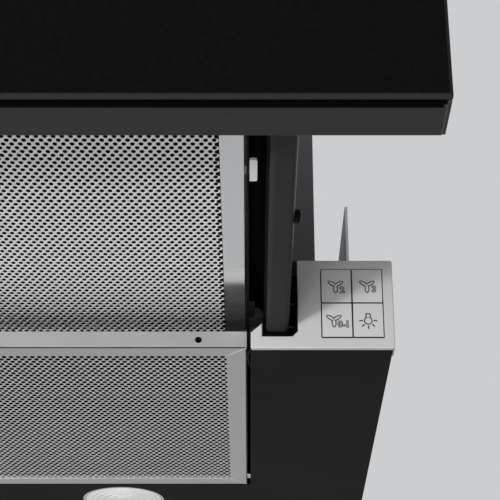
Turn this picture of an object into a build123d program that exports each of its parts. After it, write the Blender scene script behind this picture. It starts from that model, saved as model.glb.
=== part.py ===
from build123d import *
import os
from math import asin, degrees

# A built-in pull-out range hood for a 60 cm cabinet, drawn with its filter drawer pulled out.
# Millimetres. X runs to the user's right, Y runs to the wall and Z runs up.
# The origin is on the wall face and on the middle plane, level with the underside.
# Functions for a piece that comes in a right and a left hand draw the right one.

# Lower body
HOOD_WIDTH = 600.0
BODY_DEPTH = 270.0
BODY_HEIGHT = 47.7
SHEET = 1.0
BRACKET_SHEET = 1.5
HOUSING_INSET = 1.0
LIP_HEIGHT = 8.0

# Side compartments and their moulded fascias
FASCIA_WIDTH = 70.65
FASCIA_WALL = 2.5
FASCIA_DEPTH = 12.0
FASCIA_ROUND = 1.2
FASCIA_EDGE = 0.6
NOTCH_GAP_INNER = 2.0
NOTCH_GAP_OUTER = 4.5
NOTCH_GAP_BELOW = 3.0
NOTCH_CHAMFER = 2.7
NUB_LOW = 8.4
NUB_HIGH = 13.6
BROW_DROP = 7.7
BROW_END_GAP = 0.5

# Slide arms, fixed rails and ball cages
ARM_FROM_LIP = 7.65
ARM_WIDTH = 11.0
ARM_BOTTOM = 9.4
ARM_HEIGHT = 28.6
ARM_WALL = 1.5
ARM_ROUND = 2.5
ARM_SLOT = 17.6
ARM_OVERLAP = 60.0
ARM_REAR_GAP = 10.0
RAIL_NOSE_HEIGHT = 13.6
RAIL_SHEET = 1.2
RAIL_BRIM = 5.0
RAIL_NOSE_GAP = 2.5
RAIL_ARM_GAP = 3.5
RAIL_END_GAP = 12.0
RAIL_FRONT_GAP = 14.0
CAGE_LENGTH = 40.0
CAGE_WEB = 0.6
CAGE_PLATE = 1.2
CAGE_GAP = 0.5
BALL_GAP = 0.3
BALL_POCKET_GAP = 0.2
BALLS_PER_ROW = 3
GUIDE_RUNNING_GAP = 0.4
GUIDE_DEPTH = 11.2
GUIDE_SET_BACK = 0.8
GUIDE_POST_HEIGHT = 16.8
GUIDE_POST = 1.2
GUIDE_GAP = 0.1

# Drawer front
CLOSED_GAP = 1.0
PANEL_HEIGHT = 46.0
PANEL_DEPTH = 21.4
PANEL_OVERHANG = 1.8
PANEL_ROUND = 0.8
PANEL_INNER_ROUND = 0.2
SPACER_DEPTH = 4.0
SPACER_INSET = 14.0
SPACER_LIFT = 6.0
GLASS_THICKNESS = 4.0
GLASS_BEVEL = 0.3
GLASS_END_BEVEL = 1.3
END_CAP_DEPTH = 8.0
END_CAP_GAP = 0.1
END_CAP_WALL = 2.5
END_PLATE = 1.4
END_PLATE_GAP = 1.0
END_PLATE_ROUND = 1.5
LEDGE_DEPTH = 8.0

# Drawer filter and what holds it
FILTER_SIDE_GAP = 2.85
FILTER_BOTTOM = 22.0
FILTER_THICKNESS = 8.0
FILTER_REAR_GAP = 16.0
FRAME_STRIP = 10.0
FRAME_WALL = 1.0
MESH_SHEET = 0.8
CORE_SHEET = 0.4
CORE_LAYERS = 3
CORE_GAP = 0.4
MESH_GAP = 0.1
FIT_GAP = 0.3
RIB_WALL = 1.0
RIB_GAP = 1.0
RIB_BOTTOM = 21.0
CHANNEL_WALL = 1.2
CHANNEL_SIDE_BOTTOM = 20.0
CHANNEL_ROOF = 2.5
CHANNEL_REAR_GAP = 30.0
CHANNEL_TAB = 15.0
CHANNEL_TAB_FROM_REAR = 22.0
CHANNEL_TAB_REACH = 2.9
CHANNEL_TAB_DROP = 1.0
PLATE_SHEET = 0.8
DRAWER_BAR_HEIGHT = 8.0
HOOK_SPACING = 300.0
HOOK_WIDTH = 20.0
HOOK_REACH = 5.0
LATCH_AHEAD = 137.3
LATCH_LENGTH = 17.7
LATCH_REACH = 3.3
LATCH_SHEET = 1.4
LATCH_RISER = 1.5
LATCH_BELOW = 0.7
LATCH_NOSE_LENGTH = 7.0
LATCH_NOSE_HEIGHT = 3.0
LATCH_NOSE_REACH = 2.6

# Fixed filter cassette
CASSETTE_SIDE_GAP = 1.95
LAMP_STRIP = 57.0
CASSETTE_THICKNESS = 8.8
CASSETTE_REAR_GAP = 3.0
PEG_HOLE_R = 1.7
PEG_HOLE_INSET = 23.6
PIVOT_R = 2.0
PIVOT_CLEARANCE = 0.05
PIVOT_INSET = 4.5
PIVOT_BOSS_R = 3.5
PIVOT_BOSS_LENGTH = 6.4
PIVOT_HEAD = 1.0
PIVOT_HEAD_R = 3.0
PULL_WIDTH = 44.0
PULL_DEPTH = 22.0
PULL_WALL = 1.5
PULL_LIP = 5.5
CLIP_LENGTH = 22.0
CLIP_SHEET = 0.5
CLIP_SETBACK = 8.0
CLIP_BOTTOM = 2.9
CLIP_STRIP = 4.4
CROSSBAR_GAP = 0.5
CROSSBAR_DEPTH = 12.0
CROSSBAR_TOP = 18.5
CROSSBAR_SET_BACK = 24.0

# Buttons and their switch module
BUTTONS_FROM_END = 5.0
BUTTONS_WIDTH = 31.0
BUTTONS_BOTTOM = 5.3
BUTTONS_HEIGHT = 37.5
BUTTON_GAP = 0.3
BUTTON_PROUD = 0.4
BUTTON_DEPTH = 6.0
BUTTON_ROUND = 0.6
BUTTON_TRAVEL = 2.5
STEM_R = 2.5
STEM_LENGTH = 12.0
STEM_GAP = 0.3
MODULE_DEPTH = 22.0
MODULE_SET_BACK = 6.5
MODULE_WALL = 1.5

# Lamps
LAMP_SPACING = 300.0
LAMP_EDGE_GAP = 1.0
LAMP_LAP = 2.3
LAMP_HEIGHT = 15.8
LAMP_WALL = 1.5
LAMP_HOLE_GAP = 0.3
LAMP_RECESS = 0.2
LENS_RECESS = 0.4
LENS_THICKNESS = 2.0
LENS_GAP = 0.3

# Upper casing
CASING_SIDE_STEP = 38.0
CASING_FRONT_GAP = 10.0
CASING_HEIGHT = 132.3
CASING_REAR_GAP = 10.0
FLANGE = 8.0
CABINET_WALL = 17.5
CLEAT_END_GAP = 45.0
CLEAT_GAP = 0.5
GUSSET_HEIGHT = 30.0
CLEAT_HEIGHT = 60.0
CLEAT_HOLE_R = 2.5
CLEAT_HOLE_INSET = 15.0
CLEAT_HOLE_HEIGHT = 37.3
SERVICE_WIDTH = 100.0
SERVICE_DEPTH = 80.0
SERVICE_LAP = 8.0

# Blower
BLOWER_FROM_SIDE = 107.0
INLET_R = 60.0
INLET_LAP = 2.0
GUARD_FLANGE_R = 68.0
GUARD_RIB = 2.0
GUARD_RING_RS = (20.0, 40.0)
GUARD_SPOKES = 6
SCROLL_START_R = 84.0
SCROLL_STEP = 6.0
SCROLL_WALL = 2.5
SCROLL_HEIGHT = 66.3
SCROLL_FOOT_R = 6.0
SCROLL_FOOT_X = 40.0
BELL_HEIGHT = 5.3
OUTLET_ROOM_R = 80.0
CUTWATER_DROP = 15.0
IMPELLER_R = 74.0
IMPELLER_INNER_R = 64.0
IMPELLER_HEIGHT = 52.0
IMPELLER_PLATE = 2.5
IMPELLER_GAP = 6.3
BLADES = 36
BLADE_WALL = 1.2
BLADE_CHORD = 9.0
BLADE_TILT = 25.0
HUB_R = 12.0
HUB_HEIGHT = 22.0
SHAFT_R = 4.0
SHAFT_FIT = 0.02
SHAFT_CLEARANCE = 0.05
SHAFT_IN_MOTOR = 30.0
SHAFT_HOLE_R = 8.0
MOTOR_R = 36.0
MOTOR_HEIGHT = 40.0
MOTOR_FLANGE_R = 40.0
MOTOR_FLANGE = 2.0
MOTOR_ROUND = 2.5
MOUNT_R = 5.0
MOUNT_HEIGHT = 3.0
MOUNT_CIRCLE_R = 34.0
MOUNT_COUNT = 3

# Duct outlet
SPIGOT_R = 74.5
SPIGOT_WALL = 2.5
SPIGOT_HEIGHT = 30.0
SPIGOT_FLANGE_R = 92.0
SPIGOT_FLANGE = 2.0
SPIGOT_SCREWS = 4
COLLAR_R = 78.0
COLLAR_WALL = 2.5
PIN_R = 1.5
PIN_HEIGHT = 8.0
LEDGE = 2.0
FLAP_THICKNESS = 1.0
FLAP_GAP = 0.7
FLAP_ROOT = 3.6
FLAP_SEAT_GAP = 0.2
KNUCKLE_R = 3.0
KNUCKLE_LENGTH = 14.0
KNUCKLE_XS = (-48.0, 16.0)

# Electrics
TERMINAL_WIDTH = 110.0
TERMINAL_DEPTH = 80.0
TERMINAL_HEIGHT = 42.0
TERMINAL_WALL = 2.0
TERMINAL_FROM_SIDE = 12.0
TERMINAL_FROM_FRONT = 14.0
BOARD_POST = 7.0
BOARD_THICKNESS = 1.6
BOARD_MARGIN = 4.0
# Transformer, two relays and terminal block: offsets from the board's middle, then width, depth and height
BOARD_PARTS = ((-26, -14, 28, 24, 22), (6, -18, 12, 16, 14), (22, -18, 12, 16, 14), (10, 18, 52, 12, 11))
CAPACITOR_R = 17.5
CAPACITOR_HEIGHT = 60.0
CAPACITOR_ROUND = 2.0
GLAND_FROM_SIDE = 61.0
GLAND_FROM_REAR = 49.0
GLAND_BORE_R = 4.0
GLAND_R = 10.0
GLAND_HEX_R = 13.0
GLAND_HEX_HEIGHT = 6.0
GLAND_HEIGHT = 16.0
GLAND_TAIL = 8.0
GLAND_NUT_HEIGHT = 3.5
GLAND_CHAMFER = 1.5

# Fasteners
SCREW_R = 1.5
SCREW_HEAD_R = 3.2
SCREW_HEAD_HEIGHT = 2.2
SCREW_HOLE_GAP = 0.1
SCREW_LENGTH = 6.0
ARM_SCREW_R = 1.5
ARM_SCREW_HEAD_R = 3.25
ARM_SCREW_HEAD_HEIGHT = 2.8
ARM_SCREW_AHEAD = 112.5
ARM_SCREW_LIFT = 3.8
ARM_SCREW_NUT = 4.4
ARM_SCREW_NUT_DEPTH = 2.2
FLANGE_SCREW_INSET = 20.0
BRACKET_SCREW_INSET = 30.0
BRACKET_SCREW_REACH = 8.0

# Limits that follow from the sizes above, with right-hand X values
FRONT_Y = -BODY_DEPTH
FRONT_END_X = HOOD_WIDTH / 2
GLASS_END_X = FRONT_END_X + PANEL_OVERHANG
PANEL_END_X = GLASS_END_X - END_PLATE
HOUSING_X = FRONT_END_X - HOUSING_INSET
FASCIA_X = FRONT_END_X - FASCIA_WIDTH
FASCIA_BACK_Y = FRONT_Y + FASCIA_WALL
SKIRT_BACK_Y = FRONT_Y + FASCIA_DEPTH
ARM_X = (FASCIA_X + ARM_FROM_LIP, FASCIA_X + ARM_FROM_LIP + ARM_WIDTH)
ARM_Z = (ARM_BOTTOM, ARM_BOTTOM + ARM_HEIGHT)
ARM_MID_Z = ARM_BOTTOM + ARM_HEIGHT / 2
NOTCH_X = (ARM_X[0] - NOTCH_GAP_INNER, ARM_X[1] + NOTCH_GAP_OUTER)
NOTCH_Z = ARM_BOTTOM - NOTCH_GAP_BELOW
DRAWER_TRAVEL = BODY_DEPTH - ARM_OVERLAP - ARM_REAR_GAP
PANEL_BACK_Y = FRONT_Y - CLOSED_GAP - DRAWER_TRAVEL
PANEL_FRONT_Y = PANEL_BACK_Y - PANEL_DEPTH
GLASS_BACK_Y = PANEL_FRONT_Y - SPACER_DEPTH
ARM_REAR_Y = FRONT_Y + ARM_OVERLAP
RAIL_Y = (FRONT_Y + RAIL_FRONT_GAP, -RAIL_END_GAP)
RAIL_NOSE_X = ARM_X[0] + ARM_WALL + RAIL_NOSE_GAP
RAIL_BRIM_X = ARM_X[1] + RAIL_ARM_GAP
RAIL_BACK_X = RAIL_BRIM_X + RAIL_SHEET
NOSE_Z = (ARM_MID_Z - RAIL_NOSE_HEIGHT / 2, ARM_MID_Z + RAIL_NOSE_HEIGHT / 2)
FILTER_X = FASCIA_X - FILTER_SIDE_GAP
FILTER_Y = (PANEL_BACK_Y + FIT_GAP, ARM_REAR_Y - FILTER_REAR_GAP)
RIB_X = (FILTER_X + RIB_GAP, FILTER_X + RIB_GAP + RIB_WALL)
PLATE_Z = (ARM_Z[1], ARM_Z[1] + PLATE_SHEET)
LATCH_MID_Y = FRONT_Y - LATCH_AHEAD
NOSE_MID_Y = LATCH_MID_Y + (LATCH_LENGTH - LATCH_NOSE_LENGTH) / 2
CASSETTE_X = FASCIA_X - CASSETTE_SIDE_GAP
STRIP_FRONT_Y = -LAMP_STRIP
CASSETTE_Y = (FRONT_Y, STRIP_FRONT_Y - CASSETTE_REAR_GAP)
PEG_HOLE_X = CASSETTE_X - PEG_HOLE_INSET
PIVOT_Y = CASSETTE_Y[1] - PIVOT_INSET
PIVOT_Z = CASSETTE_THICKNESS / 2
BUTTONS_X = (FRONT_END_X - BUTTONS_FROM_END - BUTTONS_WIDTH, FRONT_END_X - BUTTONS_FROM_END)
BUTTONS_Z = (BUTTONS_BOTTOM, BUTTONS_BOTTOM + BUTTONS_HEIGHT)
BUTTON_WIDTH = (BUTTONS_WIDTH - 3 * BUTTON_GAP) / 2
BUTTON_HEIGHT = (BUTTONS_HEIGHT - 3 * BUTTON_GAP) / 2
MODULE_Y = (FASCIA_BACK_Y + MODULE_SET_BACK, FASCIA_BACK_Y + MODULE_SET_BACK + MODULE_DEPTH)
LAMP_Y = STRIP_FRONT_Y / 2
LAMP_FLANGE_R = LAMP_STRIP / 2 - LAMP_EDGE_GAP
LAMP_R = LAMP_FLANGE_R - LAMP_LAP
CASING_X = FRONT_END_X - CASING_SIDE_STEP
CASING_Y = (FRONT_Y + CASING_FRONT_GAP, -CASING_REAR_GAP)
CASING_MID_Y = (CASING_Y[0] + CASING_Y[1]) / 2
CASING_TOP = BODY_HEIGHT + CASING_HEIGHT
CABINET_X = FRONT_END_X - CABINET_WALL
CLEAT_Y = (CASING_Y[0] + CLEAT_END_GAP, CASING_Y[1] - CLEAT_END_GAP)
CLEAT_HOLE_YS = (CLEAT_Y[0] + CLEAT_HOLE_INSET, CLEAT_Y[1] - CLEAT_HOLE_INSET)
BLOWER_X = BLOWER_FROM_SIDE - CASING_X
SCROLL_Z = BODY_HEIGHT + BRACKET_SHEET
LID_Z = SCROLL_Z + SCROLL_WALL + SCROLL_HEIGHT
PIN_Z = CASING_TOP + PIN_HEIGHT
SERVICE_MID_X = CASING_X - TERMINAL_FROM_SIDE - TERMINAL_WIDTH / 2
TERMINAL_Y = (CASING_Y[0] + TERMINAL_FROM_FRONT, CASING_Y[0] + TERMINAL_FROM_FRONT + TERMINAL_DEPTH)
TERMINAL_MID_Y = (TERMINAL_Y[0] + TERMINAL_Y[1]) / 2
GLAND_AT = (CASING_X - GLAND_FROM_SIDE, CASING_Y[1] - GLAND_FROM_REAR)


def block(x, y, z):
    """A box between three pairs of limits."""
    size = [high - low for low, high in (x, y, z)]
    centre = [(high + low) / 2 for low, high in (x, y, z)]
    return Pos(*centre) * Box(*size)


def rod(axis, radius, along, across):
    """A round bar along an axis between two limits, at the two other coordinates."""
    low, high = along
    middle = (low + high) / 2
    bar = Cylinder(radius, high - low)
    if axis == "x":
        return Pos(middle, across[0], across[1]) * Rot(0, 90, 0) * bar
    if axis == "y":
        return Pos(across[0], middle, across[1]) * Rot(90, 0, 0) * bar
    return Pos(across[0], across[1], middle) * bar


def tube(outer, inner, along, across):
    """An upright tube between two heights."""
    return rod("z", outer, along, across) - rod("z", inner, along, across)


def along_y(section, y):
    """A section drawn in X and Z, drawn out between two Y limits."""
    return extrude(Plane.XZ.offset(-y[1]) * section, amount=y[1] - y[0])


def along_x(section, x):
    """A section drawn in Y and Z, drawn out between two X limits."""
    return extrude(Plane.YZ.offset(x[0]) * section, amount=x[1] - x[0])


def outline(points):
    """A face inside straight lines between the points."""
    return make_face(Polyline(*points, close=True))


def rounded_corners(face, corners, radius):
    """A face with the named corners rounded."""
    vertices = [face.vertices().sort_by_distance((u, v, 0))[0] for u, v in corners]
    return fillet(vertices, radius)


def left_hand(shape):
    """The mirror image on the other side of the middle plane."""
    return mirror(shape, about=Plane.YZ)


def both_hands(shape):
    """The right-hand piece and its mirror image as one group."""
    return Compound([*shape.solids(), *left_hand(shape).solids()])


def screw_down(x, y, z):
    """A pan head screw with its head on the face at z."""
    head = rod("z", SCREW_HEAD_R, (z, z + SCREW_HEAD_HEIGHT), (x, y))
    return head + rod("z", SCREW_R, (z - SCREW_LENGTH, z), (x, y))


def screw_hole(x, y, z):
    """The clearance hole of a screw_down, cut through a wide span about its face."""
    return rod("z", SCREW_R + SCREW_HOLE_GAP, (z - SCREW_LENGTH, z + SCREW_HEAD_HEIGHT), (x, y))


def casing_flange_screws():
    """Places of the screws through the casing's front and rear flanges."""
    ys = (CASING_Y[0] - FLANGE / 2, CASING_Y[1] + FLANGE / 2)
    xs = [side * (CASING_X - FLANGE_SCREW_INSET) * share for side in (-1, 1) for share in (1 / 3, 1)]
    return [(x, y, BODY_HEIGHT + SHEET) for x in xs for y in ys]


def cleat_screws():
    """Places of the screws through the feet of the cabinet cleats."""
    x = (CASING_X + CABINET_X) / 2
    return [(side * x, y, BODY_HEIGHT + BRACKET_SHEET) for side in (-1, 1) for y in CLEAT_HOLE_YS]


def rail_bracket_screws():
    """Places of the screws that hang the rail brackets under the body's top."""
    x = CASING_X + BRACKET_SCREW_REACH
    ys = (RAIL_Y[0] + BRACKET_SCREW_INSET, RAIL_Y[1] - BRACKET_SCREW_INSET)
    return [(side * x, y, BODY_HEIGHT) for side in (-1, 1) for y in ys]


def spigot_screws():
    """Places of the screws through the flange of the duct outlet."""
    circle_r = (SPIGOT_R + SPIGOT_FLANGE_R) / 2
    turns = PolarLocations(circle_r, SPIGOT_SCREWS, start_angle=180 / SPIGOT_SCREWS)
    level = CASING_TOP + SPIGOT_FLANGE
    return [(spot.position.X, CASING_MID_Y + spot.position.Y, level) for spot in turns]


def service_screws():
    """Places of the screws at the corners of the service cover."""
    dx = (SERVICE_WIDTH + SERVICE_LAP) / 2
    dy = (SERVICE_DEPTH + SERVICE_LAP) / 2
    level = CASING_TOP + SHEET
    corners = [(i, j) for i in (-1, 1) for j in (-1, 1)]
    return [(SERVICE_MID_X + i * dx, TERMINAL_MID_Y + j * dy, level) for i, j in corners]


def housing_screws():
    """All the pan head screws of the hood's fixed body."""
    places = casing_flange_screws() + cleat_screws() + rail_bracket_screws()
    places += spigot_screws() + service_screws()
    return Compound([screw_down(*place) for place in places])


def with_screw_holes(shape, places):
    """The shape with clearance holes at the screws' places."""
    for place in places:
        shape -= screw_hole(*place)
    return shape


def lamp_places():
    """Middles of the two lamps."""
    return [(side * LAMP_SPACING / 2, LAMP_Y) for side in (-1, 1)]


def housing_tray():
    """Lower steel body: top, front brow, rear wall, outer walls and rear underside strip."""
    top_z = (BODY_HEIGHT - SHEET, BODY_HEIGHT)
    wall_z = (SHEET, BODY_HEIGHT - SHEET)
    wide = (-HOUSING_X, HOUSING_X)
    brow_x = NOTCH_X[1] - BROW_END_GAP
    brow_y = (FRONT_Y + SHEET, SKIRT_BACK_Y)
    brow_z = (BODY_HEIGHT - BROW_DROP, BODY_HEIGHT)
    tray = block(wide, (SKIRT_BACK_Y, 0), top_z)
    tray += block((-brow_x, brow_x), brow_y, top_z)
    tray += block((-brow_x, brow_x), (brow_y[0], brow_y[0] + SHEET), brow_z)
    tray += block(wide, (STRIP_FRONT_Y, 0), (0, SHEET))
    tray += block(wide, (-SHEET, 0), wall_z)
    for x in ((HOUSING_X - SHEET, HOUSING_X), (-HOUSING_X, SHEET - HOUSING_X)):
        tray += block(x, (SKIRT_BACK_Y, 0), wall_z)
    tray -= rod("z", INLET_R + INLET_LAP, top_z, (BLOWER_X, CASING_MID_Y))
    for place in lamp_places():
        tray -= rod("z", LAMP_R + LAMP_HOLE_GAP, (0, SHEET), place)
    return with_screw_holes(tray, casing_flange_screws() + cleat_screws() + rail_bracket_screws())


def side_floor():
    """Underside sheet of a side compartment, with its inner lip and front post."""
    y = (FASCIA_BACK_Y, STRIP_FRONT_Y)
    lip_x = (FASCIA_X, FASCIA_X + SHEET)
    floor = block((FASCIA_X, HOUSING_X), y, (0, SHEET))
    floor += block(lip_x, y, (0, LIP_HEIGHT))
    post_y = (FRONT_Y + CROSSBAR_SET_BACK, FRONT_Y + CROSSBAR_SET_BACK + CROSSBAR_DEPTH)
    floor += block(lip_x, post_y, (0, CROSSBAR_TOP))
    return floor - rod("x", PIVOT_R + PIVOT_CLEARANCE, lip_x, (PIVOT_Y, PIVOT_Z))


def fascia():
    """Moulded fascia with the arm's notch and the nub beside it, before any buttons."""
    left, right = FASCIA_X, FRONT_END_X
    notch_left, notch_right = NOTCH_X
    points = [
        (left, 0),
        (right, 0),
        (right, BODY_HEIGHT),
        (notch_right, BODY_HEIGHT),
        (notch_right, NOTCH_Z + NOTCH_CHAMFER),
        (notch_right - NOTCH_CHAMFER, NOTCH_Z),
        (notch_left, NOTCH_Z),
        (notch_left, NUB_HIGH),
        (left, NUB_LOW),
    ]
    rounded = [(left, 0), (right, 0), (right, BODY_HEIGHT), (notch_right, BODY_HEIGHT)]
    face = rounded_corners(outline(points), rounded, FASCIA_ROUND)
    plate = along_y(face, (FRONT_Y, FASCIA_BACK_Y))
    plate = fillet(plate.faces().sort_by(Axis.Y)[0].edges(), FASCIA_EDGE)
    skirt_y = (FASCIA_BACK_Y, SKIRT_BACK_Y)
    side = block((right - FASCIA_WALL, right), skirt_y, (SHEET, BODY_HEIGHT))
    roof = block((notch_right, right), skirt_y, (BODY_HEIGHT - FASCIA_WALL, BODY_HEIGHT))
    skirt = side + roof
    corner = skirt.edges().filter_by(Axis.Y).sort_by_distance((right, FRONT_Y, BODY_HEIGHT))[0]
    return plate + fillet(corner, FASCIA_ROUND)


def front_fascia_right():
    """The fascia with its opening for four buttons and the bosses that carry the switch module."""
    opening = block(BUTTONS_X, (FRONT_Y, FASCIA_BACK_Y), BUTTONS_Z)
    shell = fascia() - fillet(opening.edges().filter_by(Axis.Y), BUTTON_ROUND)
    boss_y = (FASCIA_BACK_Y, MODULE_Y[0])
    for x in (BUTTONS_X[0] - MODULE_WALL, BUTTONS_X[1]):
        shell += block((x, x + MODULE_WALL), boss_y, BUTTONS_Z)
    return shell


def slide_guide():
    """Black guide that fills the fascia's notch below and beside the arm."""
    top = ARM_BOTTOM - GUIDE_RUNNING_GAP
    y = (FRONT_Y + GUIDE_SET_BACK, FRONT_Y + GUIDE_SET_BACK + GUIDE_DEPTH)
    gap = GUIDE_GAP
    low_z = (NOTCH_Z + gap, top)
    left = NOTCH_X[0] + gap
    right = NOTCH_X[1] - gap
    guide = block((left, right - NOTCH_CHAMFER), y, low_z)
    guide += block((left, left + GUIDE_POST), y, (low_z[0], GUIDE_POST_HEIGHT))
    guide += block((right - GUIDE_POST, right), y, (NOTCH_Z + NOTCH_CHAMFER + gap, ARM_Z[1]))
    guide += block((left, right), (FASCIA_BACK_Y, y[1]), (SHEET, top))
    rounding = guide.edges().filter_by(Axis.Y).sort_by_distance((left, y[0], GUIDE_POST_HEIGHT))[0]
    return fillet(rounding, GUIDE_POST / 2)


def rail_bracket():
    """Angle that hangs the fixed rail under the body's top."""
    web_x = (RAIL_BACK_X, RAIL_BACK_X + BRACKET_SHEET)
    top = BODY_HEIGHT - SHEET
    bracket = block(web_x, RAIL_Y, (LIP_HEIGHT, top))
    bracket += block((RAIL_BACK_X, CASING_X + 2 * BRACKET_SCREW_REACH), RAIL_Y, (top - BRACKET_SHEET, top))
    return with_screw_holes(bracket, rail_bracket_screws() + cleat_screws())


def fixed_rail():
    """Hat-shaped rail whose nose reaches into the arm between the two rows of balls."""
    low, high = NOSE_Z
    points = [
        (RAIL_BRIM_X, low - RAIL_BRIM),
        (RAIL_BACK_X, low - RAIL_BRIM),
        (RAIL_BACK_X, low + RAIL_SHEET),
        (RAIL_NOSE_X + RAIL_SHEET, low + RAIL_SHEET),
        (RAIL_NOSE_X + RAIL_SHEET, high - RAIL_SHEET),
        (RAIL_BACK_X, high - RAIL_SHEET),
        (RAIL_BACK_X, high + RAIL_BRIM),
        (RAIL_BRIM_X, high + RAIL_BRIM),
        (RAIL_BRIM_X, high),
        (RAIL_NOSE_X, high),
        (RAIL_NOSE_X, low),
        (RAIL_BRIM_X, low),
    ]
    return along_y(outline(points), RAIL_Y)


def ball_cage():
    """Pressed cage with a row of balls above and below the rail's nose."""
    inner_x = ARM_X[0] + ARM_WALL + CAGE_GAP
    outer_x = ARM_X[1] - ARM_WALL - BALL_GAP
    middle_y = (RAIL_Y[0] + ARM_REAR_Y) / 2
    y = (middle_y - CAGE_LENGTH / 2, middle_y + CAGE_LENGTH / 2)
    room = (ARM_HEIGHT - 2 * ARM_WALL - RAIL_NOSE_HEIGHT) / 2
    ball_r = room / 2 - BALL_GAP
    ball_x = inner_x + 2 * CAGE_WEB + ball_r
    row_zs = (ARM_MID_Z - (RAIL_NOSE_HEIGHT + room) / 2, ARM_MID_Z + (RAIL_NOSE_HEIGHT + room) / 2)
    pitch = CAGE_LENGTH / BALLS_PER_ROW
    ball_ys = [y[0] + pitch * (i + 0.5) for i in range(BALLS_PER_ROW)]
    half = CAGE_PLATE / 2
    cage = block((inner_x, inner_x + CAGE_WEB), y, (row_zs[0] - half, row_zs[1] + half))
    for z in row_zs:
        cage += block((inner_x, outer_x), y, (z - half, z + half))
    balls = []
    for z in row_zs:
        for ball_y in ball_ys:
            pocket = (z - CAGE_PLATE, z + CAGE_PLATE)
            cage -= rod("z", ball_r + BALL_POCKET_GAP, pocket, (ball_x, ball_y))
            balls.append(Pos(ball_x, ball_y, z) * Sphere(ball_r))
    return Compound([*cage.solids(), *balls])


def arm():
    """Lipped C-section slide arm with an end plate against the drawer's front panel."""
    middle = Pos((ARM_X[0] + ARM_X[1]) / 2, ARM_MID_Z)
    hollow = RectangleRounded(ARM_WIDTH - 2 * ARM_WALL, ARM_HEIGHT - 2 * ARM_WALL, ARM_ROUND - ARM_WALL)
    section = middle * (RectangleRounded(ARM_WIDTH, ARM_HEIGHT, ARM_ROUND) - hollow)
    section -= Pos(ARM_X[1], ARM_MID_Z) * Rectangle(3 * ARM_WALL, ARM_SLOT)
    beam = along_y(section, (PANEL_BACK_Y, ARM_REAR_Y))
    beam += along_y(middle * hollow, (PANEL_BACK_Y, PANEL_BACK_Y + ARM_WALL))
    screw_at = (FRONT_Y - ARM_SCREW_AHEAD, ARM_BOTTOM + ARM_SCREW_LIFT)
    beam -= rod("x", ARM_SCREW_R + SCREW_HOLE_GAP, (ARM_X[1] - 2 * ARM_WALL, ARM_X[1]), screw_at)
    return beam


def drawer_screws():
    """Black button head screws in the arms' outer sides, with their square nuts."""
    y, z = FRONT_Y - ARM_SCREW_AHEAD, ARM_BOTTOM + ARM_SCREW_LIFT
    face = ARM_X[1]
    inside = face - ARM_WALL
    head = rod("x", ARM_SCREW_HEAD_R, (face, face + ARM_SCREW_HEAD_HEIGHT), (y, z))
    head = fillet(head.edges().filter_by(GeomType.CIRCLE).sort_by(Axis.X)[-1], ARM_SCREW_HEAD_HEIGHT / 2)
    nut_x = (inside - ARM_SCREW_NUT_DEPTH, inside)
    half = ARM_SCREW_NUT / 2
    nut = block(nut_x, (y - half, y + half), (z - half, z + half))
    nut = fillet(nut.edges().filter_by(Axis.Y).group_by(Axis.X)[-1], ARM_ROUND - ARM_WALL)
    nut -= rod("x", ARM_SCREW_R + SCREW_HOLE_GAP, nut_x, (y, z))
    screw = head + rod("x", ARM_SCREW_R, (nut_x[0], face), (y, z))
    return both_hands(Compound([*screw.solids(), *nut.solids()]))


def front_panel():
    """Bent steel box section behind the glass, with a ledge that the filter rests on."""
    middle = Pos((PANEL_FRONT_Y + PANEL_BACK_Y) / 2, PANEL_HEIGHT / 2)
    hollow = RectangleRounded(PANEL_DEPTH - 2 * SHEET, PANEL_HEIGHT - 2 * SHEET, PANEL_INNER_ROUND)
    section = middle * (RectangleRounded(PANEL_DEPTH, PANEL_HEIGHT, PANEL_ROUND) - hollow)
    panel = along_x(section, (-PANEL_END_X, PANEL_END_X))
    ledge_x = FILTER_X - 2 * FRAME_STRIP
    ledge_z = (FILTER_BOTTOM - FIT_GAP - SHEET, FILTER_BOTTOM - FIT_GAP)
    return panel + block((-ledge_x, ledge_x), (PANEL_BACK_Y - SHEET, PANEL_BACK_Y + LEDGE_DEPTH), ledge_z)


def panel_end_cap():
    """Moulded plug in the end of the front panel, with the plate that covers panel and tape."""
    end_x = PANEL_END_X
    middle = Pos((PANEL_FRONT_Y + PANEL_BACK_Y) / 2, PANEL_HEIGHT / 2)
    wall = SHEET + END_CAP_GAP
    plug = RectangleRounded(PANEL_DEPTH - 2 * wall, PANEL_HEIGHT - 2 * wall, PANEL_INNER_ROUND)
    cap = along_x(middle * plug, (end_x - END_CAP_DEPTH, end_x))
    wall += END_CAP_WALL
    hollow = Rectangle(PANEL_DEPTH - 2 * wall, PANEL_HEIGHT - 2 * wall)
    cap -= along_x(middle * hollow, (end_x - END_CAP_DEPTH, end_x - END_CAP_WALL))
    plate = block((end_x, GLASS_END_X), (GLASS_BACK_Y + END_PLATE_GAP, PANEL_BACK_Y), (0, PANEL_HEIGHT))
    return cap + fillet(plate.edges().filter_by(Axis.X).group_by(Axis.Y)[-1], END_PLATE_ROUND)


def glass_spacer():
    """Strip of mounting tape between the glass and the panel."""
    x = FRONT_END_X - SPACER_INSET
    z = (SPACER_LIFT, PANEL_HEIGHT - SPACER_LIFT)
    return block((-x, x), (GLASS_BACK_Y, PANEL_FRONT_Y), z)


def front_glass():
    """Black glass strip with ground edges."""
    y = (GLASS_BACK_Y - GLASS_THICKNESS, GLASS_BACK_Y)
    glass = block((-GLASS_END_X, GLASS_END_X), y, (0, PANEL_HEIGHT))
    glass = chamfer(glass.edges().filter_by(Axis.Z).group_by(Axis.Y)[0], GLASS_END_BEVEL)
    long_edges = glass.edges().filter_by(Axis.X)
    return chamfer(long_edges.group_by(Axis.Y)[0] + long_edges.group_by(Axis.Y)[-1], GLASS_BEVEL)


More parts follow.
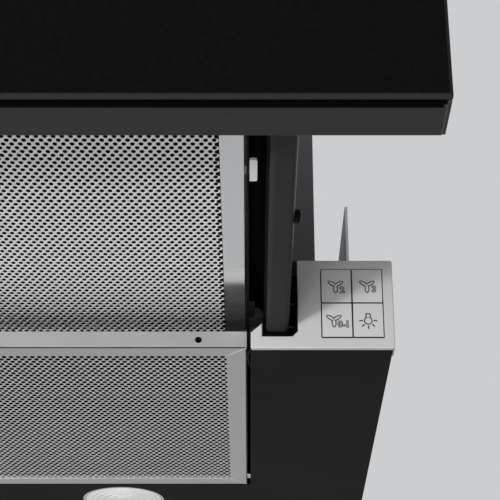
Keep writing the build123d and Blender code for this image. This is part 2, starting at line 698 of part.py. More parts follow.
def drawer_top_plate():
    """Steel plate that closes the drawer above its filter and ties the arms."""
    return block((-ARM_X[1], ARM_X[1]), (PANEL_BACK_Y, ARM_REAR_Y - SHEET), PLATE_Z)


def drawer_crossbar():
    """Angle between the arms at the drawer's rear, with two hooks that carry the filter's rear edge."""
    wide = (-ARM_X[0], ARM_X[0])
    y = (FILTER_Y[1] + FIT_GAP, ARM_REAR_Y - SHEET)
    top = PLATE_Z[0]
    bar = block(wide, y, (top - BRACKET_SHEET, top))
    bar += block(wide, (y[1] - BRACKET_SHEET, y[1]), (top - DRAWER_BAR_HEIGHT, top))
    lip_z = (FILTER_BOTTOM - FIT_GAP - SHEET, FILTER_BOTTOM - FIT_GAP)
    for side in (-1, 1):
        middle = side * HOOK_SPACING / 2
        hook_x = (middle - HOOK_WIDTH / 2, middle + HOOK_WIDTH / 2)
        bar += block(hook_x, (y[0], y[0] + BRACKET_SHEET), (lip_z[0], top))
        bar += block(hook_x, (y[0] - HOOK_REACH, y[0]), lip_z)
    return bar


def filter_rail():
    """Moulded channel between filter and arm: thin rib, rounded roof and outer side."""
    top = PLATE_Z[0]
    outer = ARM_X[0]
    side_x = outer - CHANNEL_WALL
    roof_r = (side_x - RIB_X[1]) / 2
    shoulder = top - CHANNEL_ROOF - roof_r
    y = (PANEL_BACK_Y, ARM_REAR_Y - CHANNEL_REAR_GAP)
    body = outline([(RIB_X[0], RIB_BOTTOM), (outer, RIB_BOTTOM), (outer, top), (RIB_X[0], top)])
    low = CHANNEL_SIDE_BOTTOM
    body += outline([(side_x, low), (outer, low), (outer, top), (side_x, top)])
    body -= Pos((RIB_X[1] + side_x) / 2, shoulder) * Circle(roof_r)
    body -= outline([(RIB_X[1], 0), (side_x, 0), (side_x, shoulder), (RIB_X[1], shoulder)])
    rail = along_y(body, y)
    tab_x = (RIB_X[1], RIB_X[1] + CHANNEL_TAB_REACH)
    tab_y = (y[1] - CHANNEL_TAB_FROM_REAR - CHANNEL_TAB, y[1] - CHANNEL_TAB_FROM_REAR)
    rail += block(tab_x, tab_y, (RIB_BOTTOM - CHANNEL_TAB_DROP, RIB_BOTTOM + CHANNEL_TAB_DROP))
    slot_half = LATCH_NOSE_LENGTH / 2 + FIT_GAP
    nose_z = latch_nose_z()
    slot_z = (nose_z[0] - FIT_GAP, nose_z[1] + FIT_GAP)
    return rail - block(RIB_X, (NOSE_MID_Y - slot_half, NOSE_MID_Y + slot_half), slot_z)


def latch_nose_z():
    """Heights of the latch's nose, at the middle of the filter frame's side."""
    middle = FILTER_BOTTOM + FILTER_THICKNESS / 2
    return (middle - LATCH_NOSE_HEIGHT / 2, middle + LATCH_NOSE_HEIGHT / 2)


def filter_latch():
    """White finger tab whose nose holds the drawer filter through the rail's rib."""
    tab_x = (RIB_X[1] + FIT_GAP, RIB_X[1] + FIT_GAP + LATCH_REACH)
    half = LATCH_LENGTH / 2
    low = FILTER_BOTTOM - LATCH_BELOW
    tab = block(tab_x, (LATCH_MID_Y - half, LATCH_MID_Y + half), (low, low + LATCH_SHEET))
    corners = tab.edges().filter_by(Axis.Z).group_by(Axis.X)[-1]
    tab = fillet(corners, LATCH_REACH / 3)
    nose_y = (NOSE_MID_Y - LATCH_NOSE_LENGTH / 2, NOSE_MID_Y + LATCH_NOSE_LENGTH / 2)
    nose_z = latch_nose_z()
    tab += block((tab_x[0], tab_x[0] + LATCH_RISER), nose_y, (low, nose_z[1]))
    return tab + block((FILTER_X - LATCH_NOSE_REACH, tab_x[0]), nose_y, nose_z)


def channel_frame(half_width, y, z):
    """Mitred frame of an inward-facing channel round a filter."""
    deep = FRAME_STRIP
    inner_x = half_width - FRAME_WALL
    inner_y = (y[0] + FRAME_WALL, y[1] - FRAME_WALL)
    frame = block((-half_width, half_width), y, z)
    frame -= block((-inner_x, inner_x), inner_y, (z[0] + FRAME_WALL, z[1] - FRAME_WALL))
    return frame - block((deep - half_width, half_width - deep), (y[0] + deep, y[1] - deep), z)


def filter_sheets(half_width, y, z, sheet, count):
    """Level mesh sheets spread evenly over a height, each inside the frame's walls."""
    inset = FRAME_WALL + MESH_GAP
    x = half_width - inset
    inner_y = (y[0] + inset, y[1] - inset)
    step = 0 if count == 1 else (z[1] - z[0] - sheet) / (count - 1)
    lows = [z[0] + step * i for i in range(count)]
    return Compound([block((-x, x), inner_y, (low, low + sheet)) for low in lows])


def core_heights(z):
    """Room for the inner sheets of a filter above its lower mesh."""
    low = z[0] + FRAME_WALL + MESH_SHEET
    return (low + CORE_GAP, z[1] - FRAME_WALL - MESH_GAP)


def drawer_filter_frame():
    """Frame of the filter in the drawer, with a slot in each side for the latch's nose."""
    z = (FILTER_BOTTOM, FILTER_BOTTOM + FILTER_THICKNESS)
    frame = channel_frame(FILTER_X, FILTER_Y, z)
    half = LATCH_NOSE_LENGTH / 2 + FIT_GAP
    nose_z = latch_nose_z()
    slot_y = (NOSE_MID_Y - half, NOSE_MID_Y + half)
    slot = block((FILTER_X - FRAME_WALL, FILTER_X), slot_y, (nose_z[0] - FIT_GAP, nose_z[1] + FIT_GAP))
    return frame - slot - left_hand(slot)


def latch_room():
    """Space that the latches' noses need inside the drawer filter, on both sides."""
    half = LATCH_NOSE_LENGTH / 2 + FIT_GAP
    nose_z = latch_nose_z()
    x = (FILTER_X - LATCH_NOSE_REACH - FIT_GAP, FILTER_X)
    y = (NOSE_MID_Y - half, NOSE_MID_Y + half)
    room = block(x, y, (nose_z[0] - FIT_GAP, nose_z[1] + FIT_GAP))
    return room + left_hand(room)


def drawer_filter_mesh():
    """Lower perforated sheet of the drawer filter, as a plain plate."""
    z_low = FILTER_BOTTOM + FRAME_WALL
    return filter_sheets(FILTER_X, FILTER_Y, (z_low, z_low + MESH_SHEET), MESH_SHEET, 1)


def drawer_filter_core():
    """Inner sheets of the drawer filter."""
    z = core_heights((FILTER_BOTTOM, FILTER_BOTTOM + FILTER_THICKNESS))
    return filter_sheets(FILTER_X, FILTER_Y, z, CORE_SHEET, CORE_LAYERS) - latch_room()


def cassette_bosses(radius):
    """Round bosses or holes on the cassette's pivot axis, on both sides."""
    boss = rod("x", radius, (CASSETTE_X - PIVOT_BOSS_LENGTH, CASSETTE_X), (PIVOT_Y, PIVOT_Z))
    return boss + left_hand(boss)


def pull_room(gap):
    """Space of the cassette's finger cup, widened by a gap."""
    y_low = CASSETTE_Y[0] + FRAME_STRIP
    return block((-PULL_WIDTH / 2 - gap, PULL_WIDTH / 2 + gap), (y_low - gap, y_low + PULL_DEPTH + gap),
                 (FRAME_WALL, CASSETTE_THICKNESS - FRAME_WALL))


def cassette_frame():
    """Frame of the fixed filter, with peg holes in front and pivot bosses at the rear."""
    frame = channel_frame(CASSETTE_X, CASSETTE_Y, (0, CASSETTE_THICKNESS))
    frame += cassette_bosses(PIVOT_BOSS_R)
    for x in (-PEG_HOLE_X, PEG_HOLE_X):
        frame -= rod("y", PEG_HOLE_R, (CASSETTE_Y[0], CASSETTE_Y[0] + FRAME_WALL), (x, PIVOT_Z))
    return frame - cassette_bosses(PIVOT_R + PIVOT_CLEARANCE)


def without_boss_corners(sheets):
    """Filter sheets with their rear corners cut away round the pivot bosses."""
    reach = PIVOT_BOSS_R + MESH_GAP
    corner_x = (CASSETTE_X - PIVOT_BOSS_LENGTH - MESH_GAP, CASSETTE_X)
    corner = block(corner_x, (PIVOT_Y - reach, CASSETTE_Y[1]), (0, CASSETTE_THICKNESS))
    return sheets - corner - left_hand(corner)


def cassette_mesh():
    """Lower perforated sheet of the fixed filter, as a plain plate."""
    sheet = filter_sheets(CASSETTE_X, CASSETTE_Y, (FRAME_WALL, FRAME_WALL + MESH_SHEET), MESH_SHEET, 1)
    return without_boss_corners(sheet) - pull_room(MESH_GAP)


def cassette_core():
    """Inner sheets of the fixed filter."""
    z = core_heights((0, CASSETTE_THICKNESS))
    sheets = filter_sheets(CASSETTE_X, CASSETTE_Y, z, CORE_SHEET, CORE_LAYERS)
    return without_boss_corners(sheets) - pull_room(MESH_GAP)


def cassette_pull():
    """Moulded finger cup set in the fixed filter behind its front strip."""
    cup = pull_room(0)
    low, high = FRAME_WALL, CASSETTE_THICKNESS - FRAME_WALL - PULL_WALL
    half = PULL_WIDTH / 2 - PULL_WALL
    y = (CASSETTE_Y[0] + FRAME_STRIP + PULL_WALL, CASSETTE_Y[0] + FRAME_STRIP + PULL_DEPTH - PULL_WALL)
    cup -= block((-half, half), y, (low, high))
    return cup + block((-half, half), (y[0], y[0] + PULL_LIP), (low, low + PULL_WALL))


def cassette_hinge_pin():
    """Headed pin through the compartment's lip into the cassette's side."""
    outer = FASCIA_X + SHEET
    shank = rod("x", PIVOT_R, (CASSETTE_X - PIVOT_BOSS_LENGTH, outer), (PIVOT_Y, PIVOT_Z))
    return shank + rod("x", PIVOT_HEAD_R, (outer, outer + PIVOT_HEAD), (PIVOT_Y, PIVOT_Z))


def cassette_clip():
    """Bowed leaf spring on the lip that grips the cassette's side near its front."""
    bow = FASCIA_X - CASSETTE_X - FIT_GAP - CLIP_SHEET
    front = CASSETTE_Y[0] + CLIP_SETBACK
    lines = []
    for lift in (0, CLIP_SHEET):
        wall = FASCIA_X - lift
        ends = ((wall, front), (wall, front + CLIP_LENGTH))
        lines.append(ThreePointArc(ends[0], (wall - bow, front + CLIP_LENGTH / 2), ends[1]))
    ends = [Line(lines[0] @ end, lines[1] @ end) for end in (0, 1)]
    face = make_face([*lines, *ends])
    return Pos(0, 0, CLIP_BOTTOM) * extrude(face, amount=CLIP_STRIP)


def front_crossbar():
    """Channel between the two compartments above the cassette's front edge."""
    y = (FRONT_Y + CROSSBAR_SET_BACK, FRONT_Y + CROSSBAR_SET_BACK + CROSSBAR_DEPTH)
    z = (CASSETTE_THICKNESS + CROSSBAR_GAP, CROSSBAR_TOP)
    bar = block((-FASCIA_X, FASCIA_X), y, z)
    return bar - block((-FASCIA_X, FASCIA_X), (y[0] + SHEET, y[1]), (z[0] + SHEET, z[1] - SHEET))


def button_middle(column, row):
    """X and Z of a button's middle, with column 0 on the left and row 0 at the top."""
    x = BUTTONS_X[0] + BUTTON_GAP + BUTTON_WIDTH / 2 + column * (BUTTON_WIDTH + BUTTON_GAP)
    z = BUTTONS_Z[1] - BUTTON_GAP - BUTTON_HEIGHT / 2 - row * (BUTTON_HEIGHT + BUTTON_GAP)
    return (x, z)


def button(column, row):
    """Push button with a soft-edged face and a round stem."""
    x, z = button_middle(column, row)
    face_y = FRONT_Y - BUTTON_PROUD
    back_y = face_y + BUTTON_DEPTH
    half_x, half_z = BUTTON_WIDTH / 2, BUTTON_HEIGHT / 2
    cap = block((x - half_x, x + half_x), (face_y, back_y), (z - half_z, z + half_z))
    cap = fillet(cap.edges().filter_by(Axis.Y), BUTTON_ROUND)
    cap = fillet(cap.faces().sort_by(Axis.Y)[0].edges(), BUTTON_ROUND / 2)
    return cap + rod("y", STEM_R, (back_y, back_y + STEM_LENGTH), (x, z))


def switch_module():
    """Moulded switch block behind the buttons, with a bore for each stem."""
    x = (BUTTONS_X[0] - MODULE_WALL, FRONT_END_X - FASCIA_WALL - SCREW_HOLE_GAP)
    z = (BUTTONS_Z[0] - FASCIA_WALL, BODY_HEIGHT - FASCIA_WALL - FIT_GAP)
    module = block(x, MODULE_Y, z)
    for column in (0, 1):
        for row in (0, 1):
            stem_end = FRONT_Y - BUTTON_PROUD + BUTTON_DEPTH + STEM_LENGTH + BUTTON_TRAVEL
            bore = (MODULE_Y[0], stem_end + STEM_GAP)
            module -= rod("y", STEM_R + STEM_GAP, bore, button_middle(column, row))
    return module


def lamp_housing():
    """Round can of a lamp with a flange on the underside strip."""
    place = (LAMP_SPACING / 2, LAMP_Y)
    top = LAMP_RECESS + LAMP_HEIGHT
    can = rod("z", LAMP_R, (LAMP_RECESS, top), place)
    can += rod("z", LAMP_FLANGE_R, (SHEET, SHEET + LAMP_WALL), place)
    return can - rod("z", LAMP_R - LAMP_WALL, (LAMP_RECESS, top - LAMP_WALL), place)


def lamp_lens():
    """Frosted disc in the mouth of a lamp."""
    radius = LAMP_R - LAMP_WALL - LENS_GAP
    return rod("z", radius, (LENS_RECESS, LENS_RECESS + LENS_THICKNESS), (LAMP_SPACING / 2, LAMP_Y))


def motor_box():
    """Upper steel casing, open below, with flanges in front and behind."""
    wide = (-CASING_X, CASING_X)
    z = (BODY_HEIGHT, CASING_TOP)
    inner_x = CASING_X - SHEET
    casing = block(wide, CASING_Y, z)
    casing -= block((-inner_x, inner_x), (CASING_Y[0] + SHEET, CASING_Y[1] - SHEET), (z[0], z[1] - SHEET))
    flange_z = (BODY_HEIGHT, BODY_HEIGHT + SHEET)
    casing += block(wide, (CASING_Y[0] - FLANGE, CASING_Y[0] + SHEET), flange_z)
    casing += block(wide, (CASING_Y[1] - SHEET, CASING_Y[1] + FLANGE), flange_z)
    casing -= rod("z", SPIGOT_R - SPIGOT_WALL, (z[1] - SHEET, z[1]), (0, CASING_MID_Y))
    half = SERVICE_WIDTH / 2
    service_y = (TERMINAL_MID_Y - SERVICE_DEPTH / 2, TERMINAL_MID_Y + SERVICE_DEPTH / 2)
    casing -= block((SERVICE_MID_X - half, SERVICE_MID_X + half), service_y, (z[1] - SHEET, z[1]))
    casing -= rod("z", GLAND_R + SCREW_HOLE_GAP, (z[1] - SHEET, z[1]), GLAND_AT)
    return with_screw_holes(casing, casing_flange_screws() + spigot_screws() + service_screws())


def service_cover():
    """Plate over the opening to the terminal box."""
    half = SERVICE_WIDTH / 2 + SERVICE_LAP
    reach = SERVICE_DEPTH / 2 + SERVICE_LAP
    x = (SERVICE_MID_X - half, SERVICE_MID_X + half)
    y = (TERMINAL_MID_Y - reach, TERMINAL_MID_Y + reach)
    plate = block(x, y, (CASING_TOP, CASING_TOP + SHEET))
    return with_screw_holes(plate, service_screws())


def fixing_bracket():
    """Angle cleat that is screwed to the cabinet's side, with a gusset in its corner."""
    low = BODY_HEIGHT
    face_x = CABINET_X - BRACKET_SHEET
    foot_x = CASING_X + CLEAT_GAP
    cleat = block((foot_x, CABINET_X), CLEAT_Y, (low, low + BRACKET_SHEET))
    cleat += block((face_x, CABINET_X), CLEAT_Y, (low, low + CLEAT_HEIGHT))
    gusset = outline([(foot_x, low), (face_x, low), (face_x, low + GUSSET_HEIGHT)])
    cleat += along_y(gusset, (CASING_MID_Y - BRACKET_SHEET, CASING_MID_Y + BRACKET_SHEET))
    for y in CLEAT_HOLE_YS:
        cleat -= rod("x", CLEAT_HOLE_R, (face_x, CABINET_X), (y, low + CLEAT_HOLE_HEIGHT))
    return with_screw_holes(cleat, cleat_screws())


def inlet_guard():
    """Finger guard in the blower's inlet: flanged ring, rings and spokes."""
    place = (BLOWER_X, CASING_MID_Y)
    low_z = (BODY_HEIGHT - SHEET, BODY_HEIGHT)
    top = BODY_HEIGHT + BRACKET_SHEET
    guard = tube(GUARD_FLANGE_R, INLET_R, (BODY_HEIGHT, top), place)
    guard += tube(INLET_R + INLET_LAP - FIT_GAP, INLET_R - GUARD_RIB, (low_z[0], top), place)
    for radius in GUARD_RING_RS:
        guard += tube(radius + GUARD_RIB / 2, radius - GUARD_RIB / 2, low_z, place)
    for i in range(GUARD_SPOKES // 2):
        spoke = Box(2 * (INLET_R - GUARD_RIB / 2), GUARD_RIB, SHEET)
        turn = Rot(0, 0, 360 / GUARD_SPOKES * i)
        guard += Pos(BLOWER_X, CASING_MID_Y, BODY_HEIGHT - SHEET / 2) * turn * spoke
    return guard


def scroll_region(grow):
    """Plan of the blower's scroll: four quarter arcs that widen, then the room below the outlet."""
    half = SCROLL_STEP / 2
    middles = [(half, half), (-half, half), (-half, -half), (half, -half)]
    arcs = []
    for i, (dx, dy) in enumerate(middles):
        radius = SCROLL_START_R + SCROLL_STEP * i + grow
        arcs.append(CenterArc((BLOWER_X + dx, CASING_MID_Y + dy), radius, 90 * (i - 1), 90))
    region = make_face([*arcs, Line(arcs[-1] @ 1, arcs[0] @ 0)])
    front = (arcs[-1] @ 1).Y
    x = (BLOWER_X + half, 0)
    y = (front, CASING_MID_Y - CUTWATER_DROP + grow)
    region += Pos((x[0] + x[1]) / 2, (y[0] + y[1]) / 2) * Rectangle(x[1] - x[0], y[1] - y[0])
    return region + Pos(0, CASING_MID_Y) * Circle(OUTLET_ROOM_R + grow)


def scroll_lower():
    """Lower half of the scroll: floor with a bell mouth, and the winding wall."""
    floor_top = SCROLL_Z + SCROLL_WALL
    place = (BLOWER_X, CASING_MID_Y)
    shell = extrude(Plane.XY.offset(SCROLL_Z) * scroll_region(SCROLL_WALL), amount=LID_Z - SCROLL_Z)
    shell -= extrude(Plane.XY.offset(floor_top) * scroll_region(0), amount=LID_Z - floor_top)
    shell += rod("z", INLET_R + SCROLL_WALL, (floor_top, floor_top + BELL_HEIGHT), place)
    shell -= rod("z", INLET_R, (SCROLL_Z, floor_top + BELL_HEIGHT), place)
    for dx, dy in ((-1, 0), (0, -1), (0, 1)):
        reach = SCROLL_START_R - SCROLL_FOOT_R
        foot_at = (BLOWER_X + dx * reach, CASING_MID_Y + dy * reach)
        shell += rod("z", SCROLL_FOOT_R, (BODY_HEIGHT, SCROLL_Z), foot_at)
    return shell + rod("z", SCROLL_FOOT_R, (BODY_HEIGHT, SCROLL_Z), (SCROLL_FOOT_X, CASING_MID_Y))


def scroll_upper():
    """Lid of the scroll, with a hole for the shaft and a collar up to the duct outlet."""
    lid = extrude(Plane.XY.offset(LID_Z) * scroll_region(SCROLL_WALL), amount=SCROLL_WALL)
    lid += rod("z", COLLAR_R, (LID_Z, CASING_TOP - SHEET - FIT_GAP), (0, CASING_MID_Y))
    lid -= rod("z", COLLAR_R - COLLAR_WALL, (LID_Z, CASING_TOP), (0, CASING_MID_Y))
    return lid - rod("z", SHAFT_HOLE_R, (LID_Z, LID_Z + SCROLL_WALL), (BLOWER_X, CASING_MID_Y))


def impeller_heights():
    """Lowest and highest level of the impeller inside the scroll."""
    low = SCROLL_Z + SCROLL_WALL + IMPELLER_GAP
    return (low, low + IMPELLER_HEIGHT)


def impeller():
    """Drum impeller: back plate, hub, bottom ring and a cage of set-back blades."""
    place = (BLOWER_X, CASING_MID_Y)
    low, high = impeller_heights()
    wheel = rod("z", IMPELLER_R, (high - IMPELLER_PLATE, high), place)
    wheel += tube(IMPELLER_R, IMPELLER_INNER_R, (low, low + IMPELLER_PLATE), place)
    wheel += rod("z", HUB_R, (high - HUB_HEIGHT, high), place)
    middle_r = (IMPELLER_R + IMPELLER_INNER_R) / 2
    for i in range(BLADES):
        blade = Pos(middle_r, 0, 0) * Rot(0, 0, BLADE_TILT) * Box(BLADE_CHORD, BLADE_WALL, IMPELLER_HEIGHT)
        wheel += Pos(*place, (low + high) / 2) * Rot(0, 0, 360 / BLADES * i) * blade
    return wheel - rod("z", SHAFT_R + SHAFT_FIT, (low, high), place)


def impeller_shaft():
    """Steel shaft from the impeller's hub into the motor."""
    low = impeller_heights()[1] - HUB_HEIGHT
    high = LID_Z + SCROLL_WALL + MOUNT_HEIGHT + SHAFT_IN_MOTOR
    return rod("z", SHAFT_R, (low, high), (BLOWER_X, CASING_MID_Y))


def mount_places():
    """Middles of the motor's rubber mounts."""
    offsets = PolarLocations(MOUNT_CIRCLE_R, MOUNT_COUNT)
    return [(BLOWER_X + spot.position.X, CASING_MID_Y + spot.position.Y) for spot in offsets]


def motor_mounts():
    """Rubber mounts between the scroll's lid and the motor's flange."""
    z = (LID_Z + SCROLL_WALL, LID_Z + SCROLL_WALL + MOUNT_HEIGHT)
    return Compound([rod("z", MOUNT_R, z, place) for place in mount_places()])


def motor_body():
    """Round motor with a mounting flange and a bearing bore for the shaft."""
    place = (BLOWER_X, CASING_MID_Y)
    low = LID_Z + SCROLL_WALL + MOUNT_HEIGHT
    body = rod("z", MOTOR_FLANGE_R, (low, low + MOTOR_FLANGE), place)
    can = rod("z", MOTOR_R, (low, low + MOTOR_HEIGHT), place)
    body += fillet(can.edges().filter_by(GeomType.CIRCLE).sort_by(Axis.Z)[-1], MOTOR_ROUND)
    return body - rod("z", SHAFT_R + SHAFT_CLEARANCE, (low, low + SHAFT_IN_MOTOR + FIT_GAP), place)


def outlet_spigot():
    """Duct outlet: flange, collar for the duct, and an inner ledge that the flaps close on."""
    place = (0, CASING_MID_Y)
    bore = SPIGOT_R - SPIGOT_WALL
    spigot = rod("z", SPIGOT_FLANGE_R, (CASING_TOP, CASING_TOP + SPIGOT_FLANGE), place)
    spigot += rod("z", SPIGOT_R, (CASING_TOP, CASING_TOP + SPIGOT_HEIGHT), place)
    spigot -= rod("z", bore, (CASING_TOP, CASING_TOP + SPIGOT_HEIGHT), place)
    seat = PIN_Z - FLAP_THICKNESS / 2 - FLAP_SEAT_GAP
    spigot += tube(bore, bore - LEDGE, (seat - LEDGE, seat), place)
    spigot -= rod("x", PIN_R + PIVOT_CLEARANCE, (-SPIGOT_R, SPIGOT_R), (CASING_MID_Y, PIN_Z))
    return with_screw_holes(spigot, spigot_screws())


def damper_pin():
    """Pin across the duct outlet that both flaps turn on."""
    reach = SPIGOT_R - SPIGOT_WALL / 2
    return rod("x", PIN_R, (-reach, reach), (CASING_MID_Y, PIN_Z))


def damper_flap_front():
    """Half-round flap in front of the pin, with two knuckles round it."""
    radius = SPIGOT_R - SPIGOT_WALL - FLAP_GAP
    thick = (PIN_Z - FLAP_THICKNESS / 2, PIN_Z + FLAP_THICKNESS / 2)
    root_y = CASING_MID_Y - FLAP_ROOT
    flap = rod("z", radius, thick, (0, CASING_MID_Y))
    flap -= block((-radius, radius), (root_y, CASING_MID_Y + radius), thick)
    for x in KNUCKLE_XS:
        span = (x - KNUCKLE_LENGTH / 2, x + KNUCKLE_LENGTH / 2)
        flap += block(span, (root_y, CASING_MID_Y), thick)
        flap += rod("x", KNUCKLE_R, span, (CASING_MID_Y, PIN_Z))
        flap -= rod("x", PIN_R + PIVOT_CLEARANCE, span, (CASING_MID_Y, PIN_Z))
    return flap


def damper_flap_rear():
    """The other flap: the front one turned half round on the outlet's axis."""
    about = Pos(0, CASING_MID_Y, 0)
    return about * Rot(0, 0, 180) * Pos(0, -CASING_MID_Y, 0) * damper_flap_front()


def terminal_box():
    """Open moulded box for the control board, with four posts."""
    half = TERMINAL_WIDTH / 2
    x = (SERVICE_MID_X - half, SERVICE_MID_X + half)
    z = (BODY_HEIGHT, BODY_HEIGHT + TERMINAL_HEIGHT)
    wall = TERMINAL_WALL
    box = block(x, TERMINAL_Y, z)
    inner_y = (TERMINAL_Y[0] + wall, TERMINAL_Y[1] - wall)
    box -= block((x[0] + wall, x[1] - wall), inner_y, (z[0] + wall, z[1]))
    for i in (-1, 1):
        for j in (-1, 1):
            post_x = SERVICE_MID_X + i * (half - wall - BOARD_MARGIN - BOARD_POST / 2)
            post_y = TERMINAL_MID_Y + j * (TERMINAL_DEPTH / 2 - wall - BOARD_MARGIN - BOARD_POST / 2)
            box += rod("z", BOARD_POST / 2, (z[0] + wall, z[0] + wall + BOARD_POST), (post_x, post_y))
    return box


def control_board():
    """Circuit board with its transformer, relays and terminal block."""
    half_x = TERMINAL_WIDTH / 2 - TERMINAL_WALL - BOARD_MARGIN
    half_y = TERMINAL_DEPTH / 2 - TERMINAL_WALL - BOARD_MARGIN
    low = BODY_HEIGHT + TERMINAL_WALL + BOARD_POST
    top = low + BOARD_THICKNESS
    board_x = (SERVICE_MID_X - half_x, SERVICE_MID_X + half_x)
    board = block(board_x, (TERMINAL_MID_Y - half_y, TERMINAL_MID_Y + half_y), (low, top))
    for dx, dy, width, depth, height in BOARD_PARTS:
        x, y = SERVICE_MID_X + dx, TERMINAL_MID_Y + dy
        board += block((x - width / 2, x + width / 2), (y - depth / 2, y + depth / 2), (top, top + height))
    return board


def capacitor():
    """Motor capacitor that stands beside the terminal box."""
    can = rod("z", CAPACITOR_R, (BODY_HEIGHT, BODY_HEIGHT + CAPACITOR_HEIGHT), GLAND_AT)
    return fillet(can.edges().filter_by(GeomType.CIRCLE).sort_by(Axis.Z)[-1], CAPACITOR_ROUND)


def cable_gland():
    """Gland for the mains lead in the casing's top, with its nut inside."""
    top = CASING_TOP
    under = top - SHEET
    gland = rod("z", GLAND_R, (under - GLAND_TAIL, top + GLAND_HEIGHT), GLAND_AT)
    gland = chamfer(gland.edges().filter_by(GeomType.CIRCLE).sort_by(Axis.Z)[-1], GLAND_CHAMFER)
    hexagon = Pos(*GLAND_AT) * RegularPolygon(GLAND_HEX_R, 6)
    gland += extrude(Plane.XY.offset(top) * hexagon, amount=GLAND_HEX_HEIGHT)
    gland += extrude(Plane.XY.offset(under - GLAND_NUT_HEIGHT) * hexagon, amount=GLAND_NUT_HEIGHT)
    return gland - rod("z", GLAND_BORE_R, (under - GLAND_TAIL, top + GLAND_HEIGHT), GLAND_AT)


def all_parts():
    """Every node of the hood, by name."""
    parts = {
        "housing_tray": housing_tray(),
        "side_floor_right": side_floor(),
        "side_floor_left": left_hand(side_floor()),
        "front_fascia_right": front_fascia_right(),
        "front_fascia_left": left_hand(fascia()),
        "front_crossbar": front_crossbar(),
        "slide_guides": both_hands(slide_guide()),
        "rail_brackets": both_hands(rail_bracket()),
        "fixed_rail_right": fixed_rail(),
        "fixed_rail_left": left_hand(fixed_rail()),
        "ball_cage_right": ball_cage(),
        "ball_cage_left": left_hand(ball_cage()),
        "switch_module": switch_module(),
        "lamp_housings": both_hands(lamp_housing()),
        "lamp_lenses": both_hands(lamp_lens()),
        "motor_box": motor_box(),
        "service_cover": service_cover(),
        "fixing_brackets": both_hands(fixing_bracket()),
        "inlet_guard": inlet_guard(),
        "scroll_lower": scroll_lower(),
        "scroll_upper": scroll_upper(),
        "impeller": impeller(),
        "impeller_shaft": impeller_shaft(),
        "motor_body": motor_body(),
        "motor_mounts": motor_mounts(),
        "outlet_spigot": outlet_spigot(),
        "damper_pin": damper_pin(),
        "damper_flap_front": damper_flap_front(),
        "damper_flap_rear": damper_flap_rear(),
        "terminal_box": terminal_box(),
        "control_board": control_board(),
        "capacitor": capacitor(),
        "cable_gland": cable_gland(),
        "housing_screws": housing_screws(),
        "cassette_frame": cassette_frame(),
        "cassette_mesh": cassette_mesh(),
        "cassette_core": cassette_core(),
        "cassette_pull": cassette_pull(),
        "cassette_clips": both_hands(cassette_clip()),
        "cassette_hinge_pins": both_hands(cassette_hinge_pin()),
        "front_glass": front_glass(),
        "glass_spacer": glass_spacer(),
        "front_panel": front_panel(),
        "panel_end_caps": both_hands(panel_end_cap()),
        "arm_right": arm(),
        "arm_left": left_hand(arm()),
        "drawer_screws": drawer_screws(),
        "drawer_top_plate": drawer_top_plate(),
        "drawer_crossbar": drawer_crossbar(),
        "filter_rail_right": filter_rail(),
        "filter_rail_left": left_hand(filter_rail()),
        "filter_latch_right": filter_latch(),
        "filter_latch_left": left_hand(filter_latch()),
        "drawer_filter_frame": drawer_filter_frame(),
        "drawer_filter_mesh": drawer_filter_mesh(),
        "drawer_filter_core": drawer_filter_core(),
    }
    parts["button_speed_two"] = button(0, 0)
    parts["button_speed_three"] = button(1, 0)
    parts["button_power"] = button(0, 1)
    parts["button_light"] = button(1, 1)
    return parts


os.makedirs("parts", exist_ok=True)
for node, shape in all_parts().items():
    export_step(shape, f"parts/{node}.step")
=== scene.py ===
import logging
import math
from dataclasses import dataclass, field
from enum import Enum
from typing import Callable, Iterable, Sequence

import bmesh
import bpy
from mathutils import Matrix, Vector


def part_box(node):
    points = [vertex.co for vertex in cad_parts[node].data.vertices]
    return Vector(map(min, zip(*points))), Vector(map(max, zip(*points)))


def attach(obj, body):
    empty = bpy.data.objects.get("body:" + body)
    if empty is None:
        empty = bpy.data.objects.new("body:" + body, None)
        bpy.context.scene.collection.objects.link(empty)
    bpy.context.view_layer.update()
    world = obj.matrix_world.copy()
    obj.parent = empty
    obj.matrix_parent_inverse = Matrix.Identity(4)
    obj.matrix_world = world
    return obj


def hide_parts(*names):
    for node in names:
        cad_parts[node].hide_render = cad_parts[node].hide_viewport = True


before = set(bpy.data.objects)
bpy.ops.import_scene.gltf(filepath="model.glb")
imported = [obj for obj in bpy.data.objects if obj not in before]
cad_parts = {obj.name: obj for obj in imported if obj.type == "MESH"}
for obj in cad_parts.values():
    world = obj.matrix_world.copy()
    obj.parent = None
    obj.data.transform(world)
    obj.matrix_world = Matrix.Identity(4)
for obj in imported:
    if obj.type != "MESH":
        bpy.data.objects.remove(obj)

LOG = logging.getLogger("pull_out_hood")
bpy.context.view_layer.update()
MM = 0.001
NEAR = 1e-6  # metres within which two levels count as the same
LEVEL_FACE = 0.9  # share of a face normal above which the face lies flat
MIX_FACTOR, MIX_FIRST, MIX_SECOND, MIX_RESULT = 0, 6, 7, 2  # colour sockets of a Mix node
Triple = tuple[float, float, float]
Pair = tuple[float, float]


class Grain(Enum):
    """Kinds of fine surface that a finish can have."""

    BRUSHED = "brushed_lines"
    MOULDED = "moulded_stipple"
    SPANGLED = "zinc_spangle"
    SPRAYED = "sprayed_paint"
    FIBROUS = "layered_fibre"


class Lay(Enum):
    """Direction in which the grain of a finish runs."""

    ALONG_X = (0.02, 1.0, 1.0)
    ALONG_Y = (1.0, 0.02, 1.0)
    EVEN = (1.0, 1.0, 1.0)


# ---------------------------------------------------------------- shader node groups


